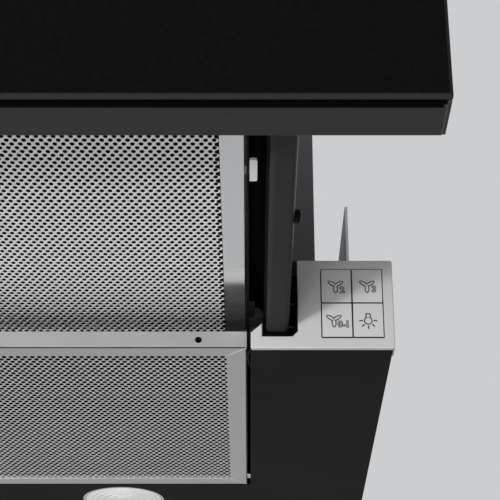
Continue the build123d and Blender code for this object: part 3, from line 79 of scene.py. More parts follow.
class Wiring:
    """Small helpers that add and join nodes in one node tree."""

    def __init__(self, tree: bpy.types.NodeTree) -> None:
        """Args: tree: the node tree that gets the nodes."""
        self.tree = tree

    def add(self, kind: str, **settings: object) -> bpy.types.Node:
        """Add a node.

        Args:
            kind: Blender's node type.
            settings: attributes to set on the node.

        Returns:
            The new node.
        """
        node = self.tree.nodes.new(kind)
        for key, value in settings.items():
            setattr(node, key, value)
        return node

    def join(self, source: bpy.types.NodeSocket, target: bpy.types.NodeSocket) -> None:
        """Join an output to an input."""
        self.tree.links.new(source, target)

    def feed(self, node: bpy.types.Node, socket: str | int, value: object) -> None:
        """Set an input to a number or join it to another socket.

        Args:
            node: the node that owns the input.
            socket: the input's name or number.
            value: a plain value or an output socket.
        """
        if isinstance(value, bpy.types.NodeSocket):
            self.join(value, node.inputs[socket])
        else:
            node.inputs[socket].default_value = value

    def maths(self, operation: str, *values: object) -> bpy.types.NodeSocket:
        """Add a Math node.

        Args:
            operation: Blender's name of the operation.
            values: its inputs, numbers or sockets.

        Returns:
            The node's output.
        """
        node = self.add("ShaderNodeMath", operation=operation)
        for number, value in enumerate(values):
            self.feed(node, number, value)
        return node.outputs[0]

    def spread(
        self, value: object, low: float, high: float, to_low: float = 0.0, to_high: float = 1.0
    ) -> bpy.types.NodeSocket:
        """Map a range of values to another one, held at its ends.

        Args:
            value: the socket to map.
            low: value that gives to_low.
            high: value that gives to_high.
            to_low: result at low.
            to_high: result at high.

        Returns:
            The mapped output.
        """
        node = self.add("ShaderNodeMapRange")
        for number, item in enumerate((value, low, high, to_low, to_high)):
            self.feed(node, number, item)
        return node.outputs[0]

    def blend(self, factor: object, first: object, second: object, mode: str = "MIX") -> bpy.types.NodeSocket:
        """Mix two colours.

        Args:
            factor: share of the second colour.
            first: first colour.
            second: second colour.
            mode: Blender's blend type.

        Returns:
            The mixed colour.
        """
        node = self.add("ShaderNodeMix", data_type="RGBA", blend_type=mode)
        self.feed(node, MIX_FACTOR, factor)
        self.feed(node, MIX_FIRST, first)
        self.feed(node, MIX_SECOND, second)
        return node.outputs[MIX_RESULT]

    def axes(self, kind: str) -> Sequence[bpy.types.NodeSocket]:
        """Give the X, Y and Z parts of one kind of the object's coordinates.

        Args:
            kind: output of the coordinates node, Object or Normal.

        Returns:
            The three parts.
        """
        place = self.add("ShaderNodeTexCoord")
        parts = self.add("ShaderNodeSeparateXYZ")
        self.join(place.outputs[kind], parts.inputs[0])
        return parts.outputs

    def facet(self, vector: bpy.types.NodeSocket, size: float) -> Sequence[bpy.types.NodeSocket]:
        """Give three even random values for each cell of a cell pattern.

        Args:
            vector: coordinates of the pattern.
            size: scale of its cells.

        Returns:
            The three values.
        """
        cells = self.add("ShaderNodeTexVoronoi", feature="F1")
        cells.inputs["Scale"].default_value = size
        self.join(vector, cells.inputs["Vector"])
        parts = self.add("ShaderNodeSeparateColor")
        self.join(cells.outputs["Color"], parts.inputs[0])
        return parts.outputs

    def seen_rays(self) -> bpy.types.NodeSocket:
        """Give 1 for camera, glossy and transmission rays, and 0 for the rest."""
        rays = self.add("ShaderNodeLightPath").outputs
        seen = self.maths("MAXIMUM", rays["Is Camera Ray"], rays["Is Glossy Ray"])
        return self.maths("MAXIMUM", seen, rays["Is Transmission Ray"])

    def mix_shaders(self, factor: object, first: bpy.types.Node, second: bpy.types.Node) -> bpy.types.Node:
        """Mix two shaders.

        Args:
            factor: share of the second shader.
            first: node of the first shader.
            second: node of the second shader.

        Returns:
            The Mix Shader node.
        """
        mix = self.add("ShaderNodeMixShader")
        self.feed(mix, 0, factor)
        self.join(first.outputs[0], mix.inputs[1])
        self.join(second.outputs[0], mix.inputs[2])
        return mix


class Effects:
    """Node groups that the finishes share, each of them built once."""

    made: dict[str, bpy.types.NodeTree] = {}

    @classmethod
    def start(
        cls, name: str, inputs: dict[str, str], outputs: dict[str, str]
    ) -> tuple[Wiring, bpy.types.Node, bpy.types.Node]:
        """Make an empty group with its sockets.

        Args:
            name: name of the group.
            inputs: socket names and types that go in.
            outputs: socket names and types that come out.

        Returns:
            The wiring, the group's input node and its output node.
        """
        tree = bpy.data.node_groups.new(name, "ShaderNodeTree")
        for label, kind in inputs.items():
            tree.interface.new_socket(name=label, in_out="INPUT", socket_type=kind)
        for label, kind in outputs.items():
            tree.interface.new_socket(name=label, in_out="OUTPUT", socket_type=kind)
        wiring = Wiring(tree)
        cls.made[name] = tree
        return wiring, wiring.add("NodeGroupInput"), wiring.add("NodeGroupOutput")

    @classmethod
    def grain(cls, kind: Grain) -> bpy.types.NodeTree:
        """Give the group that draws one kind of grain from object coordinates.

        Args:
            kind: the grain that is wanted.

        Returns:
            A group with the input Fineness and the outputs Tone and Height.
        """
        if kind.value in cls.made:
            return cls.made[kind.value]
        w, given, result = cls.start(
            kind.value,
            {"Fineness": "NodeSocketVector"},
            {"Tone": "NodeSocketFloat", "Height": "NodeSocketFloat"},
        )
        place = w.add("ShaderNodeTexCoord")
        scaled = w.add("ShaderNodeVectorMath", operation="MULTIPLY")
        w.join(place.outputs["Object"], scaled.inputs[0])
        w.join(given.outputs["Fineness"], scaled.inputs[1])
        noise = w.add("ShaderNodeTexNoise")
        noise.inputs["Scale"].default_value = 1.0
        noise.inputs["Detail"].default_value = 4.0
        w.join(scaled.outputs[0], noise.inputs["Vector"])
        tone = w.spread(noise.outputs[0], 0.3, 0.7)
        height = tone
        if kind in (Grain.MOULDED, Grain.SPRAYED):
            cells = w.add("ShaderNodeTexVoronoi", feature="SMOOTH_F1")
            cells.inputs["Scale"].default_value = 1.0 if kind is Grain.MOULDED else 0.6
            w.join(scaled.outputs[0], cells.inputs["Vector"])
            height = w.maths("ADD", cells.outputs[0], w.maths("MULTIPLY", tone, 0.3))
        elif kind is Grain.SPANGLED:
            spangle = w.facet(scaled.outputs[0], 0.12)[0]
            tone = w.maths("ADD", w.maths("MULTIPLY", spangle, 0.7), w.maths("MULTIPLY", tone, 0.3))
        elif kind is Grain.FIBROUS:
            fibre = w.facet(scaled.outputs[0], 0.35)[1]
            tone = w.maths("MULTIPLY", w.spread(fibre, 0.72, 0.98), tone)
        w.join(tone, result.inputs["Tone"])
        w.join(height, result.inputs["Height"])
        return w.tree

    @classmethod
    def handling(cls) -> bpy.types.NodeTree:
        """Give the group of faint smudges and settled dust.

        Returns:
            A group with the input Size and the output Mask.
        """
        if "handling_marks" in cls.made:
            return cls.made["handling_marks"]
        w, given, result = cls.start(
            "handling_marks", {"Size": "NodeSocketFloat"}, {"Mask": "NodeSocketFloat"}
        )
        place = w.add("ShaderNodeTexCoord")
        noise = w.add("ShaderNodeTexNoise")
        noise.inputs["Detail"].default_value = 6.0
        noise.inputs["Roughness"].default_value = 0.62
        w.join(place.outputs["Object"], noise.inputs["Vector"])
        w.join(given.outputs["Size"], noise.inputs["Scale"])
        w.join(w.spread(noise.outputs[0], 0.4, 0.68), result.inputs["Mask"])
        return w.tree

    @classmethod
    def edges(cls) -> bpy.types.NodeTree:
        """Give the group that rounds edges and masks them for rubbed wear, painted highlights and painted
        shade.

        Returns:
            A group with the input Radius and the outputs Mask and Normal.
        """
        if "worn_and_lit_edges" in cls.made:
            return cls.made["worn_and_lit_edges"]
        w, given, result = cls.start(
            "worn_and_lit_edges",
            {"Radius": "NodeSocketFloat"},
            {"Mask": "NodeSocketFloat", "Normal": "NodeSocketVector"},
        )
        rounded = w.add("ShaderNodeBevel", samples=4)
        w.join(given.outputs["Radius"], rounded.inputs["Radius"])
        flat = w.add("ShaderNodeNewGeometry")
        dot = w.add("ShaderNodeVectorMath", operation="DOT_PRODUCT")
        w.join(rounded.outputs[0], dot.inputs[0])
        w.join(flat.outputs["Normal"], dot.inputs[1])
        w.join(w.spread(dot.outputs["Value"], 0.995, 0.8), result.inputs["Mask"])
        w.join(rounded.outputs[0], result.inputs["Normal"])
        return w.tree


@dataclass(frozen=True)
class Finish:
    """One surface finish and how its material is made.

    Sizes are in metres, and the grain's fineness is in cells per metre. The rim is the colour
    of faces that don't look to the front or back: on the glass the tone of its ground edge, on
    the buttons painted shade on their sides. Dark lines over the gaps between neighbours are
    painted shade, each given as an axis and a level in millimetres, and drawn wider than the
    gaps are. The edge tint is partly rubbed wear and partly painted highlight along edges, and on
    the buttons painted shade.
    """

    name: str
    colour: Triple
    metallic: float = 0.0
    roughness: float = 0.5
    grain: Grain = Grain.MOULDED
    lay: Lay = Lay.EVEN
    fineness: float = 1500.0
    contrast: float = 0.08
    bump: float = 0.15
    relief: float = 0.00004
    uneven: float = 0.08
    edge: float = 0.0004
    edge_tint_for_wear_and_light: Triple | None = None
    edge_tint_amount: float = 0.0
    specular: float = 0.5
    coat: float = 0.0
    coat_roughness: float = 0.1
    marks: float = 14.0
    rim: Triple | None = None
    gap_shade_lines: tuple[tuple[int, float], ...] = ()
    gap_shade_reach: Pair = (0.00028, 0.00046)
    gap_shade_colour: Triple = (0.012, 0.012, 0.012)

    def material(self) -> bpy.types.Material:
        """Make the material, or give the one already made.

        Returns:
            The material of this finish.
        """
        if self.name in bpy.data.materials:
            return bpy.data.materials[self.name]
        made = bpy.data.materials.new(self.name)
        made.use_nodes = True
        w = Wiring(made.node_tree)
        made.node_tree.nodes.clear()
        shader = w.add("ShaderNodeBsdfPrincipled")
        output = w.add("ShaderNodeOutputMaterial")
        w.join(shader.outputs[0], output.inputs[0])
        fine = w.add("ShaderNodeGroup", node_tree=Effects.grain(self.grain))
        fine.inputs["Fineness"].default_value = [self.fineness * part for part in self.lay.value]
        marks = w.add("ShaderNodeGroup", node_tree=Effects.handling())
        marks.inputs["Size"].default_value = self.marks
        edges = w.add("ShaderNodeGroup", node_tree=Effects.edges())
        edges.inputs["Radius"].default_value = self.edge
        dark = (*(part * (1.0 - self.contrast) for part in self.colour), 1.0)
        light = (*(min(1.0, part * (1.0 + self.contrast)) for part in self.colour), 1.0)
        dull = (*(part * (1.0 - self.uneven) for part in self.colour), 1.0)
        colour = w.blend(fine.outputs["Tone"], dark, light)
        colour = w.blend(w.maths("MULTIPLY", marks.outputs["Mask"], 0.5), colour, dull)
        # Edge tint: partly rubbed wear, partly painted highlight along edges; on the buttons painted shade.
        if self.edge_tint_amount:
            edge_tint = (*(self.edge_tint_for_wear_and_light or self.colour), 1.0)
            edge_tint_mask = w.maths("MULTIPLY", edges.outputs["Mask"], self.edge_tint_amount)
            colour = w.blend(edge_tint_mask, colour, edge_tint)
        # Rim colour: on the buttons painted shade on their sides, on the glass the tone of its ground edge.
        if self.rim:
            front = w.spread(w.maths("ABSOLUTE", w.axes("Normal")[1]), 0.5, 0.9)
            colour = w.blend(front, (*self.rim, 1.0), colour)
        # Painted shade: dark lines over the gaps between neighbours, wider than the real gaps.
        if self.gap_shade_lines:
            axes = w.axes("Object")
            for axis, level in self.gap_shade_lines:
                away = w.maths("ABSOLUTE", w.maths("SUBTRACT", axes[axis], level * MM))
                colour = w.blend(w.spread(away, *self.gap_shade_reach), (*self.gap_shade_colour, 1.0), colour)
        w.join(colour, shader.inputs["Base Color"])
        rough = w.spread(fine.outputs["Tone"], 0.0, 1.0, self.roughness * 0.92, self.roughness * 1.08)
        rough = w.maths("ADD", rough, w.maths("MULTIPLY", marks.outputs["Mask"], self.uneven))
        w.join(rough, shader.inputs["Roughness"])
        bump = w.add("ShaderNodeBump")
        bump.inputs["Strength"].default_value = self.bump
        bump.inputs["Distance"].default_value = self.relief
        w.join(fine.outputs["Height"], bump.inputs["Height"])
        w.join(edges.outputs["Normal"], bump.inputs["Normal"])
        w.join(bump.outputs[0], shader.inputs["Normal"])
        for socket, value in (
            ("Metallic", self.metallic),
            ("Specular IOR Level", self.specular),
            ("Coat Weight", self.coat),
            ("Coat Roughness", self.coat_roughness),
        ):
            shader.inputs[socket].default_value = value
        made.diffuse_color = (*self.colour, 1.0)
        return made


class Finishes:
    """Every finish on the hood."""

    GLASS = Finish("black_back_painted_glass", (0.0028, 0.0029, 0.0032), roughness=0.08, grain=Grain.SPRAYED,
                   fineness=400, contrast=0.25, bump=0.02, relief=0.00002, uneven=0.03, edge=0.0003,
                   edge_tint_for_wear_and_light=(0.05, 0.052, 0.055), edge_tint_amount=0.5, specular=0.035,
                   rim=(0.026, 0.026, 0.025))
    TAPE = Finish("black_foam_tape", (0.008, 0.008, 0.008), roughness=0.9, fineness=1800, contrast=0.4,
                  bump=0.5, edge=0.0002, specular=0.2)
    PANEL_STEEL = Finish("dark_brushed_steel", (0.029, 0.029, 0.0295), metallic=0.3, roughness=0.36,
                         specular=0.06, grain=Grain.BRUSHED, lay=Lay.ALONG_X, fineness=2600,
                         contrast=0.22, bump=0.25,
                         edge=0.0005, edge_tint_for_wear_and_light=(0.3, 0.3, 0.31), edge_tint_amount=0.6)
    BODY_STEEL = Finish("black_brushed_steel", (0.012, 0.012, 0.0125), roughness=0.42, specular=0.01,
                        grain=Grain.BRUSHED, lay=Lay.ALONG_Y, fineness=2600, contrast=0.3, bump=0.25,
                        edge=0.0005, edge_tint_for_wear_and_light=(0.06, 0.06, 0.063), edge_tint_amount=0.5)
    CASING_STEEL = Finish("black_coated_sheet", (0.05, 0.05, 0.053), metallic=0.2, roughness=0.5,
                          grain=Grain.SPRAYED, fineness=1300, contrast=0.2, bump=0.25, edge=0.0006,
                          edge_tint_for_wear_and_light=(0.14, 0.14, 0.145), edge_tint_amount=0.5, marks=9.0)
    ZINC = Finish("galvanised_sheet", (0.42, 0.43, 0.44), metallic=0.9, roughness=0.42, grain=Grain.SPANGLED,
                  fineness=1200, contrast=0.22, bump=0.1, edge=0.0003, uneven=0.15)
    ARM_STEEL = Finish("dark_rolled_steel", (0.028, 0.028, 0.028), roughness=0.5, specular=0.03,
                       grain=Grain.BRUSHED, lay=Lay.ALONG_X, fineness=2200, contrast=0.12, bump=0.15,
                       edge=0.0005, edge_tint_for_wear_and_light=(0.05, 0.05, 0.05), edge_tint_amount=0.6)
    RAIL_STEEL = Finish("dark_oiled_rail", (0.05, 0.05, 0.052), metallic=0.9, roughness=0.4,
                        grain=Grain.BRUSHED, lay=Lay.ALONG_Y, fineness=1800, contrast=0.25, bump=0.2,
                        edge=0.0003)
    BRIGHT_STEEL = Finish("bright_turned_steel", (0.6, 0.6, 0.6), metallic=1.0, roughness=0.25,
                          grain=Grain.BRUSHED, lay=Lay.ALONG_Y, fineness=2000, contrast=0.12, bump=0.12,
                          edge=0.0003, uneven=0.12)
    BLACK_SCREW = Finish("black_oxide_screw", (0.004, 0.004, 0.004), metallic=0.2, roughness=0.5,
                         grain=Grain.SPRAYED, fineness=3000, contrast=0.3, bump=0.2, edge=0.0003,
                         edge_tint_for_wear_and_light=(0.012, 0.012, 0.012), edge_tint_amount=0.6, specular=0.03)
    SCREW = Finish("blackened_screw", (0.02, 0.02, 0.021), metallic=0.8, roughness=0.38, grain=Grain.SPRAYED,
                   fineness=3000, contrast=0.3, bump=0.2, edge=0.0003, edge_tint_for_wear_and_light=(0.2, 0.2, 0.2),
                   edge_tint_amount=0.7)
    SILVER_PLASTIC = Finish("silver_sprayed_plastic", (0.45, 0.45, 0.45), metallic=0.08,
                            roughness=0.46, specular=0.12, grain=Grain.SPRAYED, fineness=2600,
                            contrast=0.06, bump=0.12, edge=0.0005,
                            edge_tint_for_wear_and_light=(0.62, 0.62, 0.62), edge_tint_amount=0.4, uneven=0.05)
    # Painted shade: the dark sides, the darker edge tint and the dark lines over the gaps stand for the shade
    # between buttons.
    BUTTON = Finish("silver_button_plastic", (0.475, 0.475, 0.475), metallic=0.06, roughness=0.4,
                    specular=0.12, rim=(0.05, 0.05, 0.05), grain=Grain.SPRAYED, fineness=3000,
                    contrast=0.04, bump=0.06,
                    edge=0.0003, edge_tint_for_wear_and_light=(0.3, 0.3, 0.3), edge_tint_amount=0.6, uneven=0.05,
                    gap_shade_lines=((0, 264.15), (0, 279.5), (0, 294.85), (2, 5.45), (2, 24.05), (2, 42.65)))
    ICON = Finish("grey_button_print", (0.03, 0.03, 0.032), roughness=0.55, grain=Grain.SPRAYED,
                  fineness=3000, contrast=0.15, bump=0.1, edge=0.00005)
    BLACK_PLASTIC = Finish("black_moulded_plastic", (0.008, 0.008, 0.0085), roughness=0.55, fineness=1500,
                           contrast=0.25, bump=0.45, relief=0.00006, edge=0.0004,
                           edge_tint_for_wear_and_light=(0.03, 0.03, 0.03), edge_tint_amount=0.5, specular=0.03)
    # Painted shade: black plastic made darker than real plastic, so the guides in the notches and the seal in
    # the glass gap read as deep shade.
    SHADE_BLACK_PLASTIC = Finish("black_plastic_painted_shade", (0.002, 0.002, 0.0021), roughness=0.6, fineness=1500,
                          contrast=0.25, bump=0.3, relief=0.00006, edge=0.0004, specular=0.008)
    RAIL_PLASTIC = Finish("black_channel_plastic", (0.008, 0.008, 0.0085), roughness=0.55, fineness=1500,
                          contrast=0.25, bump=0.45, relief=0.00006, edge=0.0004, specular=0.03)
    WHITE_PLASTIC = Finish("white_moulded_plastic", (0.72, 0.71, 0.68), roughness=0.42, fineness=1700,
                           contrast=0.04, bump=0.15, edge=0.0004, uneven=0.08)
    FAN_PLASTIC = Finish("grey_impeller_plastic", (0.1, 0.1, 0.105), roughness=0.5, fineness=1400,
                         contrast=0.12, bump=0.25, edge=0.0003, uneven=0.15)
    FILTER_FRAME = Finish("satin_aluminium_strip", (0.43, 0.43, 0.43), metallic=0.7, roughness=0.31,
                          grain=Grain.BRUSHED, lay=Lay.ALONG_X, fineness=3600,
                          contrast=0.02, bump=0.004, edge=0.0003, edge_tint_for_wear_and_light=(0.75, 0.75, 0.75),
                          edge_tint_amount=0.5, uneven=0.04)
    DRAWER_STRIP = Finish("satin_drawer_strip", (0.68, 0.68, 0.68), metallic=0.9, roughness=0.15,
                          grain=Grain.BRUSHED, lay=Lay.ALONG_Y, fineness=3600, contrast=0.02, bump=0.004,
                          edge=0.0003, edge_tint_for_wear_and_light=(0.75, 0.75, 0.75), edge_tint_amount=0.5, uneven=0.04)
    FILTER_SHEET = Finish("pressed_aluminium_sheet", (0.66, 0.66, 0.655), metallic=0.3, roughness=0.4,
                          grain=Grain.SPRAYED, fineness=900, contrast=0.1, bump=0.1, edge=0.00008,
                          uneven=0.1)
    DULL_SHEET = Finish("dull_aluminium_sheet", (0.48, 0.48, 0.475), metallic=0.3, roughness=0.4,
                        grain=Grain.SPRAYED, fineness=900, contrast=0.1, bump=0.1, edge=0.00008,
                        uneven=0.1)
    # Painted shade: the filter's inner layers are coloured near black so the holes read as deep shade.
    SHADED_FILTER_CORE = Finish("stacked_filter_layers_painted_shade", (0.009, 0.009, 0.009), specular=0.05, roughness=0.7,
                         grain=Grain.FIBROUS, fineness=820, contrast=0.9, bump=0.3, edge=0.0001,
                         uneven=0.3)
    # Painted shade for the groove round the frame and the insides of the peg holes.
    GAP_SHADE = Finish("painted_gap_shade", (0.025, 0.025, 0.025), roughness=0.6, fineness=2500, contrast=0.3,
                 bump=0.3, edge=0.00005, specular=0.1)
    LAMP_CHROME = Finish("satin_lamp_ring", (0.62, 0.62, 0.63), metallic=1.0, roughness=0.2,
                         grain=Grain.BRUSHED, lay=Lay.ALONG_X, fineness=1500, contrast=0.06, bump=0.06,
                         edge=0.0005)
    LAMP_GLASS = Finish("frosted_lamp_lens", (0.8, 0.81, 0.8), roughness=0.34, grain=Grain.SPRAYED,
                        fineness=1500, contrast=0.04, bump=0.3, relief=0.00008, edge=0.0003, coat=0.4)
    MOTOR = Finish("cast_motor_metal", (0.35, 0.35, 0.36), metallic=0.8, roughness=0.55, fineness=900,
                   contrast=0.2, bump=0.6, relief=0.0001, edge=0.0006, uneven=0.15)
    CAPACITOR = Finish("capacitor_case", (0.6, 0.6, 0.57), roughness=0.45, fineness=1300, contrast=0.06,
                       bump=0.15, edge=0.0004)
    RUBBER = Finish("grey_rubber", (0.03, 0.03, 0.031), roughness=0.75, fineness=1200, contrast=0.25,
                    bump=0.5, edge=0.0006, specular=0.3)
    BOARD = Finish("circuit_board", (0.03, 0.12, 0.05), roughness=0.4, grain=Grain.SPRAYED, fineness=900,
                   contrast=0.3, bump=0.3, edge=0.0002, coat=0.3)


# ---------------------------------------------------------------- modelling bench


class Bench:
    """Edit-mode operators used by every new piece, with faces picked in code."""

    @staticmethod
    def clear() -> None:
        """Leave edit mode and deselect everything."""
        if bpy.context.object is not None and bpy.context.object.mode != "OBJECT":
            bpy.ops.object.mode_set(mode="OBJECT")
        for thing in bpy.context.selected_objects:
            thing.select_set(False)
        bpy.context.view_layer.objects.active = None

    @staticmethod
    def hold(thing: bpy.types.Object) -> None:
        """Make one object the only selected and active one."""
        Bench.clear()
        thing.select_set(True)
        bpy.context.view_layer.objects.active = thing

    @staticmethod
    def fresh(name: str) -> bpy.types.Object:
        """Name the primitive just added and put its place into its mesh.

        Args:
            name: name of the piece.

        Returns:
            The object.
        """
        thing = bpy.context.object
        thing.name = name
        thing.data.name = name
        bpy.ops.object.transform_apply(location=True, rotation=True, scale=True)
        return thing

    @staticmethod
    def block(name: str, low: Triple, high: Triple) -> bpy.types.Object:
        """Add a box between two corners given in millimetres.

        Args:
            name: name of the piece.
            low: lowest corner.
            high: highest corner.

        Returns:
            The object.
        """
        Bench.clear()
        middle = [(a + b) / 2 * MM for a, b in zip(low, high)]
        size = [(b - a) * MM for a, b in zip(low, high)]
        bpy.ops.mesh.primitive_cube_add(size=1.0, location=middle, scale=size)
        return Bench.fresh(name)

    @staticmethod
    def disc(name: str, centre: Triple, radius: float, corners: int, facing: Triple) -> bpy.types.Object:
        """Add a filled disc given in millimetres.

        Args:
            name: name of the piece.
            centre: its middle.
            radius: its radius.
            corners: number of corners.
            facing: direction that its face looks to.

        Returns:
            The object.
        """
        Bench.clear()
        turn = Vector(facing).to_track_quat("Z", "Y").to_euler()
        bpy.ops.mesh.primitive_circle_add(
            vertices=corners, radius=radius * MM, fill_type="NGON",
            location=[part * MM for part in centre], rotation=turn,
        )
        return Bench.fresh(name)

    @staticmethod
    def pick(
        thing: bpy.types.Object,
        faces: Callable[[bmesh.types.BMFace], bool] | None = None,
        edges: Callable[[bmesh.types.BMEdge], bool] | None = None,
        points: Callable[[bmesh.types.BMVert], bool] | None = None,
    ) -> int:
        """Go to edit mode and select what the test says.

        Args:
            thing: the object to edit.
            faces: test for a face.
            edges: test for an edge.
            points: test for a point.

        Returns:
            How many were selected.
        """
        if bpy.context.object is not thing or thing.mode != "EDIT":
            Bench.hold(thing)
            bpy.ops.object.mode_set(mode="EDIT")
        mode = "FACE" if faces else "EDGE" if edges else "VERT"
        bpy.ops.mesh.select_mode(type=mode)
        bpy.ops.mesh.select_all(action="DESELECT")
        shape = bmesh.from_edit_mesh(thing.data)
        items = shape.faces if faces else shape.edges if edges else shape.verts
        test = faces or edges or points
        count = 0
        for item in items:
            if test(item):
                item.select_set(True)
                count += 1
        shape.select_flush_mode()
        bmesh.update_edit_mesh(thing.data)
        return count

    @staticmethod
    def modifier(thing: bpy.types.Object, kind: str, **settings: object) -> None:
        """Add a modifier and apply it.

        Args:
            thing: the object.
            kind: Blender's modifier type.
            settings: its settings.
        """
        Bench.hold(thing)
        added = thing.modifiers.new(kind.lower(), kind)
        for key, value in settings.items():
            setattr(added, key, value)
        bpy.ops.object.modifier_apply(modifier=added.name)

    @staticmethod
    def soften(thing: bpy.types.Object, radius: float, segments: int = 2, angle: float = 35.0) -> None:
        """Round the sharp edges and shade by angle.

        Args:
            thing: the object.
            radius: radius of the rounding in millimetres.
            segments: steps across the rounding.
            angle: edges sharper than this many degrees are rounded.
        """
        Bench.modifier(thing, "BEVEL", width=radius * MM, segments=segments, limit_method="ANGLE",
                       angle_limit=math.radians(angle), use_clamp_overlap=True)
        Bench.hold(thing)
        bpy.ops.object.shade_smooth_by_angle(angle=math.radians(40.0))

    @staticmethod
    def tidy(thing: bpy.types.Object) -> None:
        """Merge doubled points and turn every face outwards."""
        Bench.hold(thing)
        bpy.ops.object.mode_set(mode="EDIT")
        bpy.ops.mesh.select_all(action="SELECT")
        bpy.ops.mesh.remove_doubles(threshold=0.00001)
        bpy.ops.mesh.normals_make_consistent(inside=False)
        bpy.ops.object.mode_set(mode="OBJECT")

    @staticmethod
    def twin(thing: bpy.types.Object, name: str, move: Triple) -> bpy.types.Object:
        """Copy a piece with its own mesh and move the copy.

        Args:
            thing: the piece that is copied.
            name: name of the copy.
            move: how far it moves, in millimetres.

        Returns:
            The copy.
        """
        Bench.hold(thing)
        bpy.ops.object.duplicate(linked=False)
        copy = bpy.context.object
        copy.name = name
        bpy.ops.transform.translate(value=[part * MM for part in move])
        bpy.ops.object.transform_apply(location=True, rotation=True, scale=True)
        return copy

    @staticmethod
    def merge(things: Sequence[bpy.types.Object], name: str) -> bpy.types.Object:
        """Join pieces into one.

        Args:
            things: the pieces; the first one stays.
            name: name of the joined piece.

        Returns:
            The joined piece.
        """
        Bench.clear()
        for thing in things:
            thing.select_set(True)
        bpy.context.view_layer.objects.active = things[0]
        if len(things) > 1:
            bpy.ops.object.join()
        things[0].name = name
        things[0].data.name = name
        return things[0]

    @staticmethod
    def place(thing: bpy.types.Object, finish: Finish, body: str, slot: str, *nodes: str) -> None:
        """Give a finished piece its material, its body and the nodes it stands for.

        Args:
            thing: the piece.
            finish: its finish, where it has none yet.
            body: the body that it moves with.
            slot: the record's material slot; not used.
            nodes: CAD nodes that it replaces.
        """
        Bench.clear()
        if not thing.data.materials:
            thing.data.materials.append(finish.material())
        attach(thing, body)
        if nodes:
            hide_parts(*nodes)


class SubAssembly:
    """A group of pieces that is built and dressed together."""

    finishes: dict[str, Finish] = {}

    def build(self) -> None:
        """Build the new pieces; a group without any keeps its CAD shapes."""

    def dress(self) -> None:
        """Give each carried-over CAD node its finish."""
        for node, finish in self.finishes.items():
            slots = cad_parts[node].data.materials
            slots.clear()
            slots.append(finish.material())
            LOG.info("dressed %s as %s", node, finish.name)


# ---------------------------------------------------------------- filters


